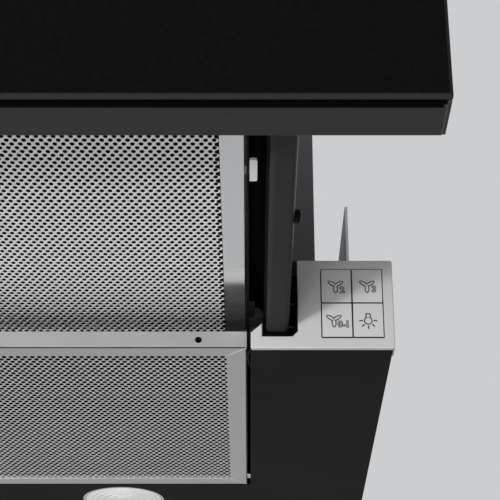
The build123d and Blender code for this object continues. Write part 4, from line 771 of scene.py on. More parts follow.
@dataclass
class PunchedSheet:
    """Staggered rows of dished holes in a thin sheet, seen from below.

    Lengths are in millimetres. The sheet lies level, and its holes open upwards.
    """

    left: float
    right: float
    front: float
    back: float
    level: float
    pitch: float = 3.5
    hole_across: float = 1.02
    hole_along: float = 1.5
    rim: float = 0.22
    roll: float = 0.2
    wall: float = 0.12
    corners: int = 12

    @classmethod
    def within(
        cls, half_width: float, front: float, back: float, strip: float, level: float, **holes: float
    ) -> "PunchedSheet":
        """Make the sheet that fills a frame and runs a little under its strips.

        Args:
            half_width: half the frame's outer width.
            front: the frame's front.
            back: the frame's back.
            strip: width of the frame's strips.
            level: height of the sheet.
            holes: sizes of the holes, where they aren't the usual ones.

        Returns:
            The sheet.
        """
        inner = half_width - strip
        under_left, under_right, under_ends = 1.2, 2.5, 1.5
        return cls(-inner - under_left, inner + under_right, front + strip - under_ends,
                   back - strip + under_ends, level, **holes)

    @property
    def row(self) -> float:
        """Distance between two rows of holes."""
        return self.pitch * math.sqrt(3.0) / 2.0

    @staticmethod
    def pick_end(cell: bpy.types.Object, level: float) -> None:
        """Pick the many-sided face that closes the hole at one level.

        Args:
            cell: the cell being modelled.
            level: height of the face.
        """
        Bench.pick(cell, faces=lambda face: len(face.verts) > 4
                   and abs(face.calc_center_median().z - level * MM) < NEAR)

    def ring(self, cell: bpy.types.Object, across: float, along: float, start: float, rise: float) -> None:
        """Draw the hole's end face in and up, and make it an even oval.

        Args:
            cell: the cell being modelled.
            across: half the oval's width.
            along: half the oval's length.
            start: height of the end face.
            rise: how far it rises.
        """
        self.pick_end(cell, start)
        bpy.ops.mesh.extrude_region_move(TRANSFORM_OT_translate={"value": (0, 0, rise * MM)})
        shape = bmesh.from_edit_mesh(cell.data)
        inner = [face for face in shape.faces if face.select][0]
        middle = inner.calc_center_median()
        reaches = sorted({round((point.co - middle).length, 7) for point in inner.verts})
        for reach in reaches:
            Bench.pick(cell, points=lambda p, r=reach: abs(p.co.z - middle.z) < NEAR
                       and abs((p.co - middle).length - r) < 3e-7)
            bpy.ops.transform.resize(value=(along / reach * MM,) * 2 + (1.0,))
        self.pick_end(cell, start + rise)
        bpy.ops.transform.resize(value=(across / along, 1.0, 1.0))

    def cell(self, name: str) -> bpy.types.Object:
        """Model one six-sided cell with its dished hole.

        Args:
            name: name of the cell.

        Returns:
            The cell.
        """
        place = (self.left, self.front, self.level)
        cell = Bench.disc(name, place, self.pitch / math.sqrt(3.0), self.corners, (0, 0, 1))
        middle = Vector(place) * MM
        flat = math.cos(math.pi / 6.0)

        def between(point: bmesh.types.BMVert) -> bool:
            """Say whether a point lies in the middle of a side of the cell."""
            way = point.co - middle
            turn = math.degrees(math.atan2(way.x, way.y)) % 60.0
            return 15.0 < turn < 45.0

        Bench.pick(cell, points=between)
        bpy.ops.transform.resize(value=(flat, flat, 1.0))
        start = self.level
        for wider, rise in ((self.rim, 0.01), (0.0, self.roll), (0.03, self.wall)):
            self.ring(cell, self.hole_across + wider, self.hole_along + wider, start, rise)
            start += rise
        Bench.pick(cell, faces=lambda face: len(face.verts) > 4)
        bpy.ops.mesh.delete(type="FACE")
        bpy.ops.mesh.select_all(action="SELECT")
        bpy.ops.mesh.normals_make_consistent(inside=False)
        shape = bmesh.from_edit_mesh(cell.data)
        lowest = min(shape.faces, key=lambda face: face.calc_center_median().z)
        if lowest.normal.z > 0:
            bpy.ops.mesh.flip_normals()
        bpy.ops.object.mode_set(mode="OBJECT")
        return cell

    def panels(self, name: str, count: int) -> list[bpy.types.Object]:
        """Fill the sheet with cells, in several panels side by side.

        Args:
            name: start of each panel's name.
            count: number of panels.

        Returns:
            The panels.
        """
        across = int((self.right - self.left) / self.pitch)
        rows = int((self.back - self.front) / self.row / 2.0) + 1
        share = math.ceil(across / count)
        cell = self.cell(f"{name}_1")
        steps = ((2, self.pitch / 2, self.row), (share, self.pitch, 0.0), (rows, 0.0, 2 * self.row))
        for copies, x, y in steps:
            Bench.modifier(cell, "ARRAY", count=copies, use_relative_offset=False, use_constant_offset=True,
                           constant_offset_displace=(x * MM, y * MM, 0))
        Bench.hold(cell)
        bpy.ops.object.mode_set(mode="EDIT")
        bpy.ops.mesh.select_all(action="SELECT")
        bpy.ops.mesh.remove_doubles(threshold=0.00002)
        bpy.ops.object.mode_set(mode="OBJECT")
        bpy.ops.object.shade_smooth_by_angle(angle=math.radians(75.0))
        made = [cell]
        for number in range(1, count):
            made.append(Bench.twin(cell, f"{name}_{number + 1}", (number * share * self.pitch, 0, 0)))
        return made


@dataclass
class StripFrame:
    """A flat frame of mitred strip with a turned-up wall. Lengths are in millimetres."""

    name: str
    low: Triple
    high: Triple
    strip: float = 10.0
    mitre: float = 0.2
    groove: float = 0.55
    pegs: tuple[float, ...] = ()
    peg_radius: float = 1.7
    peg_level: float = 4.4
    peg_start: float = 1.0
    peg_depth: float = 7.0
    ridge_depth: float = 0.15

    def build(self) -> bpy.types.Object:
        """Model the frame from one block.

        Returns:
            The frame.
        """
        frame_piece = Bench.block(self.name, self.low, self.high)
        for finish in (Finishes.FILTER_FRAME, Finishes.GAP_SHADE):
            frame_piece.data.materials.append(finish.material())
        Bench.pick(frame_piece, faces=lambda face: abs(face.normal.z) > LEVEL_FACE)
        bpy.ops.mesh.inset(thickness=self.strip * MM, use_boundary=True, use_even_offset=True)
        bpy.ops.mesh.bridge_edge_loops()
        self.cut_groove(frame_piece)
        self.open_mitres(frame_piece)
        bpy.ops.object.mode_set(mode="OBJECT")
        for number, place in enumerate(self.pegs):
            self.drill(frame_piece, place, number)
        Bench.tidy(frame_piece)
        Bench.soften(frame_piece, 0.1, 1)
        return frame_piece

    def cut_groove(self, piece: bpy.types.Object) -> None:
        """Cut the groove between the outer wall and the flange below it, its faces painted shade.

        Args:
            piece: the frame being modelled.
        """
        floor = self.low[2] * MM
        middle = [(a + b) / 2 * MM for a, b in zip(self.low, self.high)]
        reach = [(b - a) / 2 * MM - 1e-4 for a, b in zip(self.low, self.high)]

        def outer(edge: bmesh.types.BMEdge) -> bool:
            """Say whether an edge runs round the outside of the underside."""
            place = (edge.verts[0].co + edge.verts[1].co) / 2
            outside = abs(place.x - middle[0]) > reach[0] or abs(place.y - middle[1]) > reach[1]
            return outside and abs(place.z - floor) < NEAR

        Bench.pick(piece, edges=outer)
        # The groove's faces take the second material, painted shade.
        bpy.ops.mesh.bevel(offset=self.groove * MM, segments=2, profile=0.0, affect="EDGES", material=1)

    def open_mitres(self, piece: bpy.types.Object) -> None:
        """Cut a fine groove along the joint at each corner of the underside.

        Args:
            piece: the frame being modelled.
        """
        floor = self.low[2] * MM

        def slanted(edge: bmesh.types.BMEdge) -> bool:
            """Say whether an edge runs across a corner of the underside."""
            way = edge.verts[1].co - edge.verts[0].co
            level = all(abs(point.co.z - floor) < NEAR for point in edge.verts)
            return level and abs(way.x) > 1e-3 and abs(way.y) > 1e-3

        Bench.pick(piece, edges=slanted)
        bpy.ops.mesh.bevel(offset=self.mitre * MM, segments=2, affect="EDGES", clamp_overlap=True)

        def ridge(edge: bmesh.types.BMEdge) -> bool:
            """Say whether an edge is the middle one of three along a mitre."""
            if not slanted(edge):
                return False
            return all(slanted_length(face) for face in edge.link_faces)

        def slanted_length(face: bmesh.types.BMFace) -> bool:
            """Say whether a face is one of the narrow ones along a mitre."""
            return face.calc_area() < self.mitre * 2 * self.strip * 2 * MM * MM

        if Bench.pick(piece, edges=ridge):
            bpy.ops.transform.translate(value=(0, 0, self.ridge_depth * MM))

    def drill(self, piece: bpy.types.Object, place: float, number: int) -> None:
        """Drill a peg hole into the front wall, its inner faces painted shade.

        Args:
            piece: the frame being modelled.
            place: the hole's place along the front.
            number: the hole's number.
        """
        start = (place, self.low[1] - self.peg_start, self.peg_level)
        drill = Bench.disc(f"drill_{number}", start, self.peg_radius, 24, (0, -1, 0))
        Bench.pick(drill, faces=lambda face: True)
        bpy.ops.mesh.extrude_region_move(TRANSFORM_OT_translate={"value": (0, self.peg_depth * MM, 0)})
        bpy.ops.object.mode_set(mode="OBJECT")
        Bench.tidy(drill)
        for finish in piece.data.materials:
            drill.data.materials.append(finish)
        # Painted shade: the hole's inner faces take the frame's dark second material.
        for face in drill.data.polygons:
            face.material_index = 1
        Bench.modifier(piece, "BOOLEAN", operation="DIFFERENCE", object=drill, solver="EXACT")
        bpy.data.objects.remove(drill)


@dataclass
class Cassette(SubAssembly):
    """The fixed grease filter under the body, hinged at its rear edge."""

    half_width: float = 227.4
    front: float = -270.0
    back: float = -60.0
    height: float = 8.8
    strip: float = 10.0
    sheet_level: float = 1.2
    peg_place: float = 203.8
    lip: float = 2.2
    lattice_cells: tuple[int, int] = (54, 23)
    lattice_level: float = 8.15
    lattice_wire: float = 0.9
    bead_width: float = 0.5
    bead_rise: float = 0.1
    finishes: dict[str, Finish] = field(default_factory=lambda: {
        "cassette_core": Finishes.SHADED_FILTER_CORE,
        "cassette_pull": Finishes.BLACK_PLASTIC,
        "cassette_clips": Finishes.SCREW,
        "cassette_hinge_pins": Finishes.BRIGHT_STEEL,
    })

    def build(self) -> None:
        """Build the mitred frame and the punched sheet inside it."""
        strips = StripFrame("cassette_strip_frame", (-self.half_width, self.front, 0.0),
                            (self.half_width, self.back, self.height), self.strip,
                            pegs=(-self.peg_place, self.peg_place))
        Bench.place(strips.build(), Finishes.FILTER_FRAME, "cassette", "filter_frame", "cassette_frame")
        sheet = PunchedSheet.within(self.half_width, self.front, self.back, self.strip, self.sheet_level,
                                    hole_across=1.25, hole_along=1.68, rim=0.12, roll=0.08, wall=0.1)
        for panel in sheet.panels("cassette_sheet", 3):
            self.open_for_pull(panel)
            replaced = ("cassette_mesh",) if panel.name.endswith("_1") else ()
            Bench.place(panel, Finishes.DULL_SHEET, "cassette", "filter_mesh", *replaced)
        self.edge_pull()
        self.cover_core()
        self.join_mitres()
        LOG.info("built the cassette's frame and punched sheet")

    def edge_pull(self) -> None:
        """Build the flat lip round the pull cup, over the cut edge of the sheet."""
        low, high = (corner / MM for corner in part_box("cassette_pull"))
        lip = Bench.block("pull_lip", (low.x - self.lip, low.y + 0.1, self.sheet_level - 0.8),
                          (high.x + self.lip, high.y + self.lip, self.sheet_level))
        Bench.pick(lip, faces=lambda face: abs(face.normal.z) > LEVEL_FACE)
        bpy.ops.mesh.inset(thickness=self.lip * MM, use_individual=True)
        bpy.ops.mesh.bridge_edge_loops()
        bpy.ops.object.mode_set(mode="OBJECT")
        Bench.tidy(lip)
        Bench.soften(lip, 0.25, 2)
        Bench.place(lip, Finishes.BLACK_PLASTIC, "cassette", "black_plastic")

    def cover_core(self) -> None:
        """Build the expanded-metal lattice over the upper side of the core."""
        reach = self.half_width - self.strip + 0.4
        middle = (0.0, (self.front + self.back) / 2 * MM, self.lattice_level * MM)
        depth = self.back - self.front - 2 * self.strip + 0.8
        Bench.clear()
        across, along = self.lattice_cells
        bpy.ops.mesh.primitive_grid_add(x_subdivisions=across, y_subdivisions=along, size=1.0,
                                        location=middle)
        lattice = Bench.fresh("cassette_lattice")
        Bench.pick(lattice, faces=lambda face: True)
        bpy.ops.transform.resize(value=(2 * reach * MM, depth * MM, 1.0), center_override=middle)
        bpy.ops.mesh.poke()

        def straight(edge: bmesh.types.BMEdge) -> bool:
            """Say whether an inner edge runs along the grid instead of across its cells."""
            way = edge.verts[1].co - edge.verts[0].co
            return not edge.is_boundary and min(abs(way.x), abs(way.y)) < 1e-5

        Bench.pick(lattice, edges=straight)
        bpy.ops.mesh.dissolve_edges(use_verts=False)
        bpy.ops.object.mode_set(mode="OBJECT")
        Bench.modifier(lattice, "WIREFRAME", thickness=self.lattice_wire * MM, use_replace=True,
                       use_even_offset=False)
        Bench.pick(lattice, faces=lambda face: True)
        bpy.ops.transform.resize(value=(1.0, 1.0, 0.6), center_override=middle)
        bpy.ops.object.mode_set(mode="OBJECT")
        Bench.tidy(lattice)
        Bench.place(lattice, Finishes.DULL_SHEET, "cassette", "filter_mesh")
        LOG.info("built the lattice over the cassette's core")

    def join_mitres(self) -> None:
        """Build the low bead along the joint at each corner of the frame, in a lighter finish than the frame
        as painted highlight.
        """
        beads = []
        for number, (side, end) in enumerate(((1, -1), (-1, -1), (1, 1), (-1, 1))):
            x = side * (self.half_width - self.strip / 2)
            y = self.front + self.strip / 2 if end < 0 else self.back - self.strip / 2
            reach = self.strip / math.sqrt(2.0) - self.bead_width
            bead = Bench.block(f"mitre_{number}", (x - reach, y - self.bead_width / 2, -self.bead_rise),
                               (x + reach, y + self.bead_width / 2, self.bead_width))
            Bench.pick(bead, faces=lambda face: True)
            bpy.ops.transform.rotate(value=math.radians(-45.0 * side * end), orient_axis="Z",
                                     center_override=(x * MM, y * MM, 0.0))
            bpy.ops.object.mode_set(mode="OBJECT")
            Bench.soften(bead, 0.1, 2)
            beads.append(bead)
        # Painted highlight: the beads take the lighter sheet finish so the joints read as bright lines.
        Bench.place(Bench.merge(beads, "cassette_mitres"), Finishes.FILTER_SHEET, "cassette", "filter_frame")

    def open_for_pull(self, panel: bpy.types.Object) -> None:
        """Clear the cells where the pull cup sits.

        Args:
            panel: one panel of the sheet.
        """
        low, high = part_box("cassette_pull")
        if Bench.pick(panel, faces=lambda face: low.x < face.calc_center_median().x < high.x
                      and face.calc_center_median().y < high.y):
            bpy.ops.mesh.delete(type="FACE")
        bpy.ops.object.mode_set(mode="OBJECT")


@dataclass
class DrawerFilter(SubAssembly):
    """The grease filter that slides out with the front panel."""

    half_width: float = 226.5
    front: float = -470.7
    back: float = -226.0
    low: float = 22.0
    high: float = 30.0
    strip: float = 10.0
    sheet_level: float = 23.1
    finishes: dict[str, Finish] = field(default_factory=lambda: {
        "drawer_filter_core": Finishes.SHADED_FILTER_CORE,
        "drawer_filter_frame": Finishes.DRAWER_STRIP,
        "filter_rail_right": Finishes.RAIL_PLASTIC,
        "filter_rail_left": Finishes.RAIL_PLASTIC,
        "filter_latch_right": Finishes.WHITE_PLASTIC,
        "filter_latch_left": Finishes.WHITE_PLASTIC,
    })

    def build(self) -> None:
        """Build the punched sheet inside the frame."""
        sheet = PunchedSheet.within(self.half_width, self.front, self.back, self.strip, self.sheet_level)
        for panel in sheet.panels("drawer_sheet", 4):
            replaced = ("drawer_filter_mesh",) if panel.name.endswith("_1") else ()
            Bench.place(panel, Finishes.FILTER_SHEET, "drawer", "filter_mesh", *replaced)
        LOG.info("built the drawer filter's punched sheet")


# ---------------------------------------------------------------- the rest of the hood


@dataclass
class Drawer(SubAssembly):
    """Glass front, box panel, arms and the plates that slide out together."""

    seal_low: Triple = (-299.0, -496.3, -0.02)
    seal_high: Triple = (299.0, -492.5, 3.5)
    seal_lip: float = 0.8
    shade_lip_low: Triple = (-299.0, -493.2, -0.12)
    shade_lip_high: Triple = (299.0, -491.2, -0.02)
    finishes: dict[str, Finish] = field(default_factory=lambda: {
        "front_glass": Finishes.GLASS,
        "glass_spacer": Finishes.TAPE,
        "front_panel": Finishes.PANEL_STEEL,
        "panel_end_caps": Finishes.PANEL_STEEL,
        "arm_right": Finishes.ARM_STEEL,
        "arm_left": Finishes.ARM_STEEL,
        "drawer_screws": Finishes.BLACK_SCREW,
        "drawer_top_plate": Finishes.ZINC,
        "drawer_crossbar": Finishes.ZINC,
    })

    def build(self) -> None:
        """Build the black sealing strip below the tape, between glass and metal. A thin dark lip under the
        panel's front edge is painted shade over that lit edge.
        """
        seal = Bench.block("glass_seal", self.seal_low, self.seal_high)
        Bench.pick(seal, faces=lambda face: face.normal.z < -LEVEL_FACE)
        bpy.ops.mesh.inset(thickness=self.seal_lip * MM, depth=-self.seal_lip * MM)
        bpy.ops.object.mode_set(mode="OBJECT")
        Bench.soften(seal, 0.15, 2)
        # Painted shade: a thin dark strip under the panel's front edge hides its lit rounding.
        lip = Bench.block("glass_seal_shade_lip", self.shade_lip_low, self.shade_lip_high)
        Bench.soften(lip, 0.04, 1)
        seal = Bench.merge([seal, lip], "glass_seal")
        Bench.place(seal, Finishes.SHADE_BLACK_PLASTIC, "drawer", "tape")
        LOG.info("built the seal behind the glass")


@dataclass
class Housing(SubAssembly):
    """The lower steel body with its slide rails and fixings."""

    finishes: dict[str, Finish] = field(default_factory=lambda: {
        "housing_tray": Finishes.BODY_STEEL,
        "side_floor_right": Finishes.BODY_STEEL,
        "side_floor_left": Finishes.BODY_STEEL,
        "front_crossbar": Finishes.BODY_STEEL,
        "rail_brackets": Finishes.RAIL_STEEL,
        "fixed_rail_right": Finishes.RAIL_STEEL,
        "fixed_rail_left": Finishes.RAIL_STEEL,
        "ball_cage_right": Finishes.RAIL_STEEL,
        "ball_cage_left": Finishes.RAIL_STEEL,
        "fixing_brackets": Finishes.ZINC,
        "housing_screws": Finishes.SCREW,
    })


@dataclass
class Lamps(SubAssembly):
    """Two lamps in the rear strip of the underside."""

    rings: tuple[float, ...] = (5.0, 9.0, 13.0, 17.0, 20.5)
    ring_level: float = 0.42
    ring_width: float = 0.9
    ring_height: float = 0.3
    finishes: dict[str, Finish] = field(default_factory=lambda: {
        "lamp_housings": Finishes.LAMP_CHROME,
        "lamp_lenses": Finishes.LAMP_GLASS,
    })

    def build(self) -> None:
        """Build the rings moulded into the face of each lens."""
        low, high = (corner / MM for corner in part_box("lamp_lenses"))
        radius = (high.y - low.y) / 2
        for side, place in (("left", low.x + radius), ("right", high.x - radius)):
            parts = []
            for number, reach in enumerate(self.rings):
                Bench.clear()
                bpy.ops.mesh.primitive_torus_add(
                    location=(place * MM, (low.y + radius) * MM, self.ring_level * MM),
                    major_radius=reach * MM, minor_radius=self.ring_width / 2 * MM,
                    major_segments=72, minor_segments=8,
                )
                ring = Bench.fresh(f"lens_ring_{side}_{number}")
                Bench.pick(ring, faces=lambda face: True)
                bpy.ops.transform.resize(value=(1.0, 1.0, self.ring_height * 2 / self.ring_width))
                bpy.ops.object.mode_set(mode="OBJECT")
                parts.append(ring)
            rings = Bench.merge(parts, f"lens_rings_{side}")
            Bench.hold(rings)
            bpy.ops.object.shade_smooth_by_angle(angle=math.radians(60.0))
            Bench.place(rings, Finishes.LAMP_GLASS, "housing", "lamp_glass")
        LOG.info("built the rings on the lamp lenses")


@dataclass
class Casing(SubAssembly):
    """The upper casing with its cover, outlet and electrics."""

    ribs: int = 4
    rib_left: float = -240.0
    rib_right: float = -110.0
    rib_front: float = -225.0
    rib_step: float = 55.0
    rib_width: float = 8.0
    rib_rise: float = 1.2
    finishes: dict[str, Finish] = field(default_factory=lambda: {
        "motor_box": Finishes.CASING_STEEL,
        "service_cover": Finishes.CASING_STEEL,
        "terminal_box": Finishes.BLACK_PLASTIC,
        "control_board": Finishes.BOARD,
        "capacitor": Finishes.CAPACITOR,
        "cable_gland": Finishes.BLACK_PLASTIC,
        "outlet_spigot": Finishes.BLACK_PLASTIC,
        "damper_pin": Finishes.BRIGHT_STEEL,
        "damper_flap_front": Finishes.FAN_PLASTIC,
        "damper_flap_rear": Finishes.FAN_PLASTIC,
    })

    def build(self) -> None:
        """Build the stiffening ribs pressed into the top sheet."""
        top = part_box("motor_box")[1].z / MM
        first = Bench.block("casing_rib_0", (self.rib_left, self.rib_front, top - 0.5),
                            (self.rib_right, self.rib_front + self.rib_width, top + self.rib_rise))
        Bench.pick(first, edges=lambda edge: abs((edge.verts[1].co - edge.verts[0].co).z) > 0.5 * MM)
        bpy.ops.mesh.bevel(offset=self.rib_width * 0.45 * MM, segments=6, affect="EDGES")
        bpy.ops.object.mode_set(mode="OBJECT")
        Bench.soften(first, self.rib_rise * 0.6, 3, 60.0)
        ribs = [first]
        for number in range(1, self.ribs):
            ribs.append(Bench.twin(first, f"casing_rib_{number}", (0.0, self.rib_step * number, 0.0)))
        Bench.place(Bench.merge(ribs, "casing_ribs"), Finishes.CASING_STEEL, "housing", "dark_steel")
        LOG.info("built the ribs of the casing")


@dataclass
class Blower(SubAssembly):
    """Fan, scroll and motor inside the casing."""

    finishes: dict[str, Finish] = field(default_factory=lambda: {
        "inlet_guard": Finishes.BLACK_PLASTIC,
        "scroll_lower": Finishes.FAN_PLASTIC,
        "scroll_upper": Finishes.FAN_PLASTIC,
        "impeller": Finishes.FAN_PLASTIC,
        "impeller_shaft": Finishes.BRIGHT_STEEL,
        "motor_body": Finishes.MOTOR,
        "motor_mounts": Finishes.RUBBER,
    })


@dataclass
class Controls(SubAssembly):
    """Silver fascias, the guides in their notches and the four push buttons."""

    face: float = -270.4
    print_depth: float = 0.06
    stroke: float = 0.6
    petal_lengths: Triple = (4.6, 4.6, 4.3)
    petal_widths: Triple = (2.3, 2.3, 2.6)
    petal_turns: Triple = (32.0, 148.0, 270.0)
    petal_start: float = 0.5
    petal_overlap: float = 0.8
    bulb: float = 4.4
    bulb_rise: float = 0.25
    cap_half_width: float = 1.35
    cap_reach: Pair = (1.2, 4.0)
    ray_width: float = 0.75
    ray_reach: Pair = (2.65, 4.45)
    ray_turns: tuple[float, ...] = (0.0, 180.0, 225.0, 270.0, 315.0)
    drop: float = 0.6
    digit_height: float = 3.3
    digit_stroke: float = 0.24
    digit_offset: float = 0.14
    digit_flatness: float = 0.3
    finishes: dict[str, Finish] = field(default_factory=lambda: {
        "front_fascia_right": Finishes.SILVER_PLASTIC,
        "front_fascia_left": Finishes.SILVER_PLASTIC,
        "slide_guides": Finishes.SHADE_BLACK_PLASTIC,
        "switch_module": Finishes.BLACK_PLASTIC,
        "button_speed_two": Finishes.BUTTON,
        "button_speed_three": Finishes.BUTTON,
        "button_power": Finishes.BUTTON,
        "button_light": Finishes.BUTTON,
    })

    def build(self) -> None:
        """Build the printed signs on the four buttons."""
        for button, label, hub, digits in (
            ("button_speed_two", "fan_sign_two", (-0.35, 0.75), (("2", 2.95, -1.7),)),
            ("button_speed_three", "fan_sign_three", (-0.05, 0.8), (("3", 3.4, -1.3),)),
            ("button_power", "fan_sign_power", (-1.5, 0.75),
             (("0", 1.5, -1.7), ("-", 3.3, -1.9), ("1", 5.1, -1.7))),
        ):
            low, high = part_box(button)
            middle = (low + high) / 2 / MM
            place = (middle.x + hub[0], middle.z + hub[1] - self.drop)
            parts = self.blades(f"{label}_blade", *place, 0.0, self.print_depth)
            for text, right, up in digits:
                parts.append(self.digit(text, middle.x + right, middle.z + up - self.drop))
            Bench.place(Bench.merge(parts, label), Finishes.ICON, f"{button}_body", "black_plastic")
            inner = self.blades(f"{label}_face", *place, self.stroke, self.print_depth * 1.5)
            inner = Bench.merge(inner, f"{label}_face")
            Bench.place(inner, Finishes.BUTTON, f"{button}_body", "button_plastic")
        low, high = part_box("button_light")
        middle = (low + high) / 2 / MM
        place = (middle.x, middle.z + self.bulb_rise - self.drop)
        lines = self.lamp_sign("lamp_sign", *place, 0.0, self.print_depth)
        Bench.place(lines, Finishes.ICON, "button_light_body", "black_plastic")
        inner = self.lamp_sign("lamp_sign_face", *place, self.stroke, self.print_depth * 1.5)
        Bench.place(inner, Finishes.BUTTON, "button_light_body", "button_plastic")
        LOG.info("built the signs on the buttons")

    def oval(
        self, name: str, x: float, z: float, width: float, height: float, depth: float, corners: int = 28
    ) -> bpy.types.Object:
        """Model a thin raised oval on the button face.

        Args:
            name: name of the piece.
            x: middle of the oval, across.
            z: middle of the oval, up.
            width: width of the oval.
            height: height of the oval.
            depth: how far it stands off the face.
            corners: number of corners.

        Returns:
            The oval.
        """
        oval = Bench.disc(name, (x, self.face, z), width / 2, corners, (0, -1, 0))
        Bench.pick(oval, faces=lambda face: True)
        bpy.ops.transform.resize(value=(1.0, 1.0, height / width))
        bpy.ops.mesh.extrude_region_move(TRANSFORM_OT_translate={"value": (0, -depth * MM, 0)})
        bpy.ops.object.mode_set(mode="OBJECT")
        Bench.tidy(oval)
        return oval

    def turned(self, piece: bpy.types.Object, x: float, z: float, turn: float) -> bpy.types.Object:
        """Turn a piece of a sign about a point of the button face.

        Args:
            piece: the piece.
            x: the point, across.
            z: the point, up.
            turn: degrees, from the right upwards.

        Returns:
            The piece.
        """
        Bench.hold(piece)
        bpy.context.scene.cursor.location = (x * MM, self.face * MM, z * MM)
        bpy.ops.object.origin_set(type="ORIGIN_CURSOR")
        piece.rotation_euler = (0.0, -math.radians(turn), 0.0)
        bpy.ops.object.transform_apply(location=True, rotation=True, scale=True)
        bpy.context.scene.cursor.location = (0.0, 0.0, 0.0)
        bpy.ops.object.origin_set(type="ORIGIN_CURSOR")
        return piece

    def blades(self, label: str, x: float, z: float, less: float, depth: float) -> list[bpy.types.Object]:
        """Model the three blades of a fan sign, or the faces inside their lines.

        Args:
            label: start of the names.
            x: hub of the fan, across.
            z: hub of the fan, up.
            less: how much smaller the blades are all round.
            depth: how far they stand off the face.

        Returns:
            The three blades.
        """
        made = []
        petals = zip(self.petal_turns, self.petal_lengths, self.petal_widths)
        for number, (turn, length, width) in enumerate(petals):
            blade = self.oval(f"{label}_{number}", x + length / 2 - self.petal_start, z,
                              length + self.petal_overlap - 2 * less, width - 2 * less, depth)
            made.append(self.turned(blade, x, z, turn))
        return made

    def digit(self, text: str, x: float, z: float) -> bpy.types.Object:
        """Model one hollow figure.

        Args:
            text: the figure.
            x: its middle, across.
            z: its middle, up.

        Returns:
            The figure as a mesh.
        """
        Bench.clear()
        bpy.ops.object.text_add(location=(x * MM, self.face * MM, z * MM), rotation=(math.pi / 2, 0, 0))
        figure = bpy.context.object
        figure.name = f"figure_{'dash' if text == '-' else text}"
        figure.data.body = text
        figure.data.size = self.digit_height / 0.72 * MM
        figure.data.align_x = "CENTER"
        figure.data.align_y = "CENTER"
        figure.data.offset = self.digit_offset * MM
        figure.data.fill_mode = "NONE"
        figure.data.bevel_depth = self.digit_stroke * MM
        figure.data.bevel_resolution = 1
        figure.data.resolution_u = 4
        bpy.ops.object.convert(target="MESH")
        figure = bpy.context.object
        bpy.ops.object.transform_apply(location=True, rotation=True, scale=True)
        Bench.pick(figure, points=lambda point: True)
        bpy.ops.transform.resize(value=(1.0, self.digit_flatness, 1.0),
                                 center_override=(x * MM, self.face * MM, z * MM))
        bpy.ops.object.mode_set(mode="OBJECT")
        return figure

    def lamp_sign(self, name: str, x: float, z: float, less: float, depth: float) -> bpy.types.Object:
        """Model the lamp sign, or the faces inside its lines.

        Args:
            name: name of the sign.
            x: middle of the bulb, across.
            z: middle of the bulb, up.
            less: how much smaller the bulb and its cap are all round.
            depth: how far they stand off the face.

        Returns:
            The sign.
        """
        half = self.cap_half_width - less
        cap = Bench.block(f"{name}_cap", (x - half, self.face - depth, z + self.cap_reach[0] + less),
                          (x + half, self.face, z + self.cap_reach[1] - less))
        Bench.soften(cap, 0.02, 1)
        bulb = self.bulb - 2 * less
        parts = [self.oval(name, x, z, bulb, bulb, depth), cap]
        for number, turn in enumerate(() if less else self.ray_turns):
            low = (x + self.ray_reach[0], self.face - depth, z - self.ray_width / 2)
            high = (x + self.ray_reach[1], self.face, z + self.ray_width / 2)
            ray = Bench.block(f"{name}_ray_{number}", low, high)
            Bench.soften(ray, 0.02, 1)
            parts.append(self.turned(ray, x, z, turn))
        return Bench.merge(parts, name)


# ---------------------------------------------------------------- studio


@dataclass(frozen=True)
class Lamp:
    """One soft area lamp of the studio, in metres and watts."""

    name: str
    place: Triple
    aim: Triple
    width: float
    height: float
    power: float

    def build(self) -> None:
        """Add the lamp and point it at its aim."""
        data = bpy.data.lights.new(self.name, "AREA")
        data.shape = "RECTANGLE"
        data.size, data.size_y = self.width, self.height
        data.energy = self.power
        lamp = bpy.data.objects.new(self.name, data)
        bpy.context.scene.collection.objects.link(lamp)
        lamp.location = self.place
        lamp.rotation_euler = (Vector(self.aim) - Vector(self.place)).to_track_quat("-Z", "Y").to_euler()
        lamp.visible_camera = False


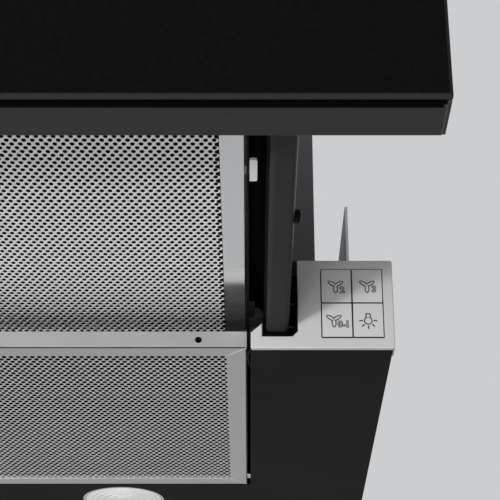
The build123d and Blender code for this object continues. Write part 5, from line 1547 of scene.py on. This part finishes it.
@dataclass
class Studio:
    """Camera, floor, lamps and the pale surroundings."""

    eye: Triple = (0.229, -0.9749, -0.301)
    tilt: float = 116.7
    lens: float = 112.9
    floor_level: float = -1.2
    backdrop: Triple = (0.6, 0.61, 0.62)
    ambient: float = 0.09
    floor_size: float = 60.0
    floor_colour: Triple = (0.7, 0.71, 0.72)
    floor_fade: Pair = (1.2, 3.2)
    floor_glow: float = 0.72
    lamps: tuple[Lamp, ...] = (
        Lamp("key_lamp", (-0.72, -2.14, -0.5435), (0.26, -0.27, 0.02), 0.18, 0.18, 29.0),
        Lamp("front_low_lamp", (0.0, -2.4, -0.34), (0.2, -0.32, 0.02), 2.0, 0.44, 18.0),
        Lamp("below_lamp", (-0.35, -1.0, -1.0), (0.1, -0.35, 0.0), 0.5, 0.5, 4.5),
        Lamp("top_lamp", (-0.6, 0.5, 2.2), (0.0, -0.2, 0.0), 2.0, 2.0, 45.0),
        Lamp("rear_lamp", (1.4, 2.2, 1.0), (0.0, -0.2, 0.1), 1.6, 1.6, 22.0),
    )

    def camera(self) -> None:
        """Add the camera at the photograph's place."""
        data = bpy.data.cameras.new("photograph_camera")
        data.sensor_width = 36.0
        data.lens = self.lens
        data.clip_start = 0.01
        camera = bpy.data.objects.new("photograph_camera", data)
        bpy.context.scene.collection.objects.link(camera)
        camera.location = self.eye
        camera.rotation_euler = (math.radians(self.tilt), 0.0, 0.0)
        bpy.context.scene.camera = camera

    def surroundings(self) -> None:
        """Make the pale world that camera, gloss and glass see, and its soft light."""
        world = bpy.data.worlds.new("pale_room")
        bpy.context.scene.world = world
        world.use_nodes = True
        w = Wiring(world.node_tree)
        world.node_tree.nodes.clear()
        output = w.add("ShaderNodeOutputWorld")
        seen = w.add("ShaderNodeBackground")
        soft = w.add("ShaderNodeBackground")
        seen.inputs[0].default_value = (*self.backdrop, 1.0)
        soft.inputs[0].default_value = (1.0, 1.0, 1.0, 1.0)
        soft.inputs[1].default_value = self.ambient
        w.join(w.mix_shaders(w.seen_rays(), soft, seen).outputs[0], output.inputs[0])

    def floor(self) -> None:
        """Lay the pale floor, which shows from above only."""
        Bench.clear()
        bpy.ops.mesh.primitive_plane_add(size=self.floor_size, location=(0.0, 0.0, self.floor_level))
        floor = Bench.fresh("studio_floor")
        paint = bpy.data.materials.new("pale_floor")
        paint.use_nodes = True
        w = Wiring(paint.node_tree)
        paint.node_tree.nodes.clear()
        output = w.add("ShaderNodeOutputMaterial")
        surface = w.add("ShaderNodeBsdfPrincipled")
        surface.inputs["Base Color"].default_value = (*self.floor_colour, 1.0)
        surface.inputs["Roughness"].default_value = 0.8
        surface.inputs["Specular IOR Level"].default_value = 0.1
        pale = w.add("ShaderNodeEmission")
        pale.inputs[0].default_value = (*self.backdrop, 1.0)
        place = w.add("ShaderNodeTexCoord")
        reach = w.add("ShaderNodeVectorMath", operation="LENGTH")
        w.join(place.outputs["Object"], reach.inputs[0])
        away = w.spread(reach.outputs["Value"], *self.floor_fade, self.floor_glow, 1.0)
        lit = w.mix_shaders(w.maths("MULTIPLY", w.seen_rays(), away), surface, pale)
        clear = w.add("ShaderNodeBsdfTransparent")
        below = w.add("ShaderNodeNewGeometry").outputs["Backfacing"]
        w.join(w.mix_shaders(below, lit, clear).outputs[0], output.inputs[0])
        floor.data.materials.append(paint)

    def build(self) -> None:
        """Build the whole studio."""
        self.camera()
        self.surroundings()
        self.floor()
        for lamp in self.lamps:
            lamp.build()
        bpy.context.scene.view_settings.view_transform = "Standard"


def main() -> None:
    """Build the studio and each sub-assembly in order."""
    logging.basicConfig(level=logging.INFO, format="%(name)s: %(message)s")
    Bench.clear()
    Studio().build()
    groups: Iterable[SubAssembly] = (
        Housing(), Controls(), Cassette(), DrawerFilter(), Drawer(), Lamps(), Casing(), Blower(),
    )
    for group in groups:
        group.build()
        group.dress()
        LOG.info("finished %s", type(group).__name__)


if __name__ == "__main__":
    main()
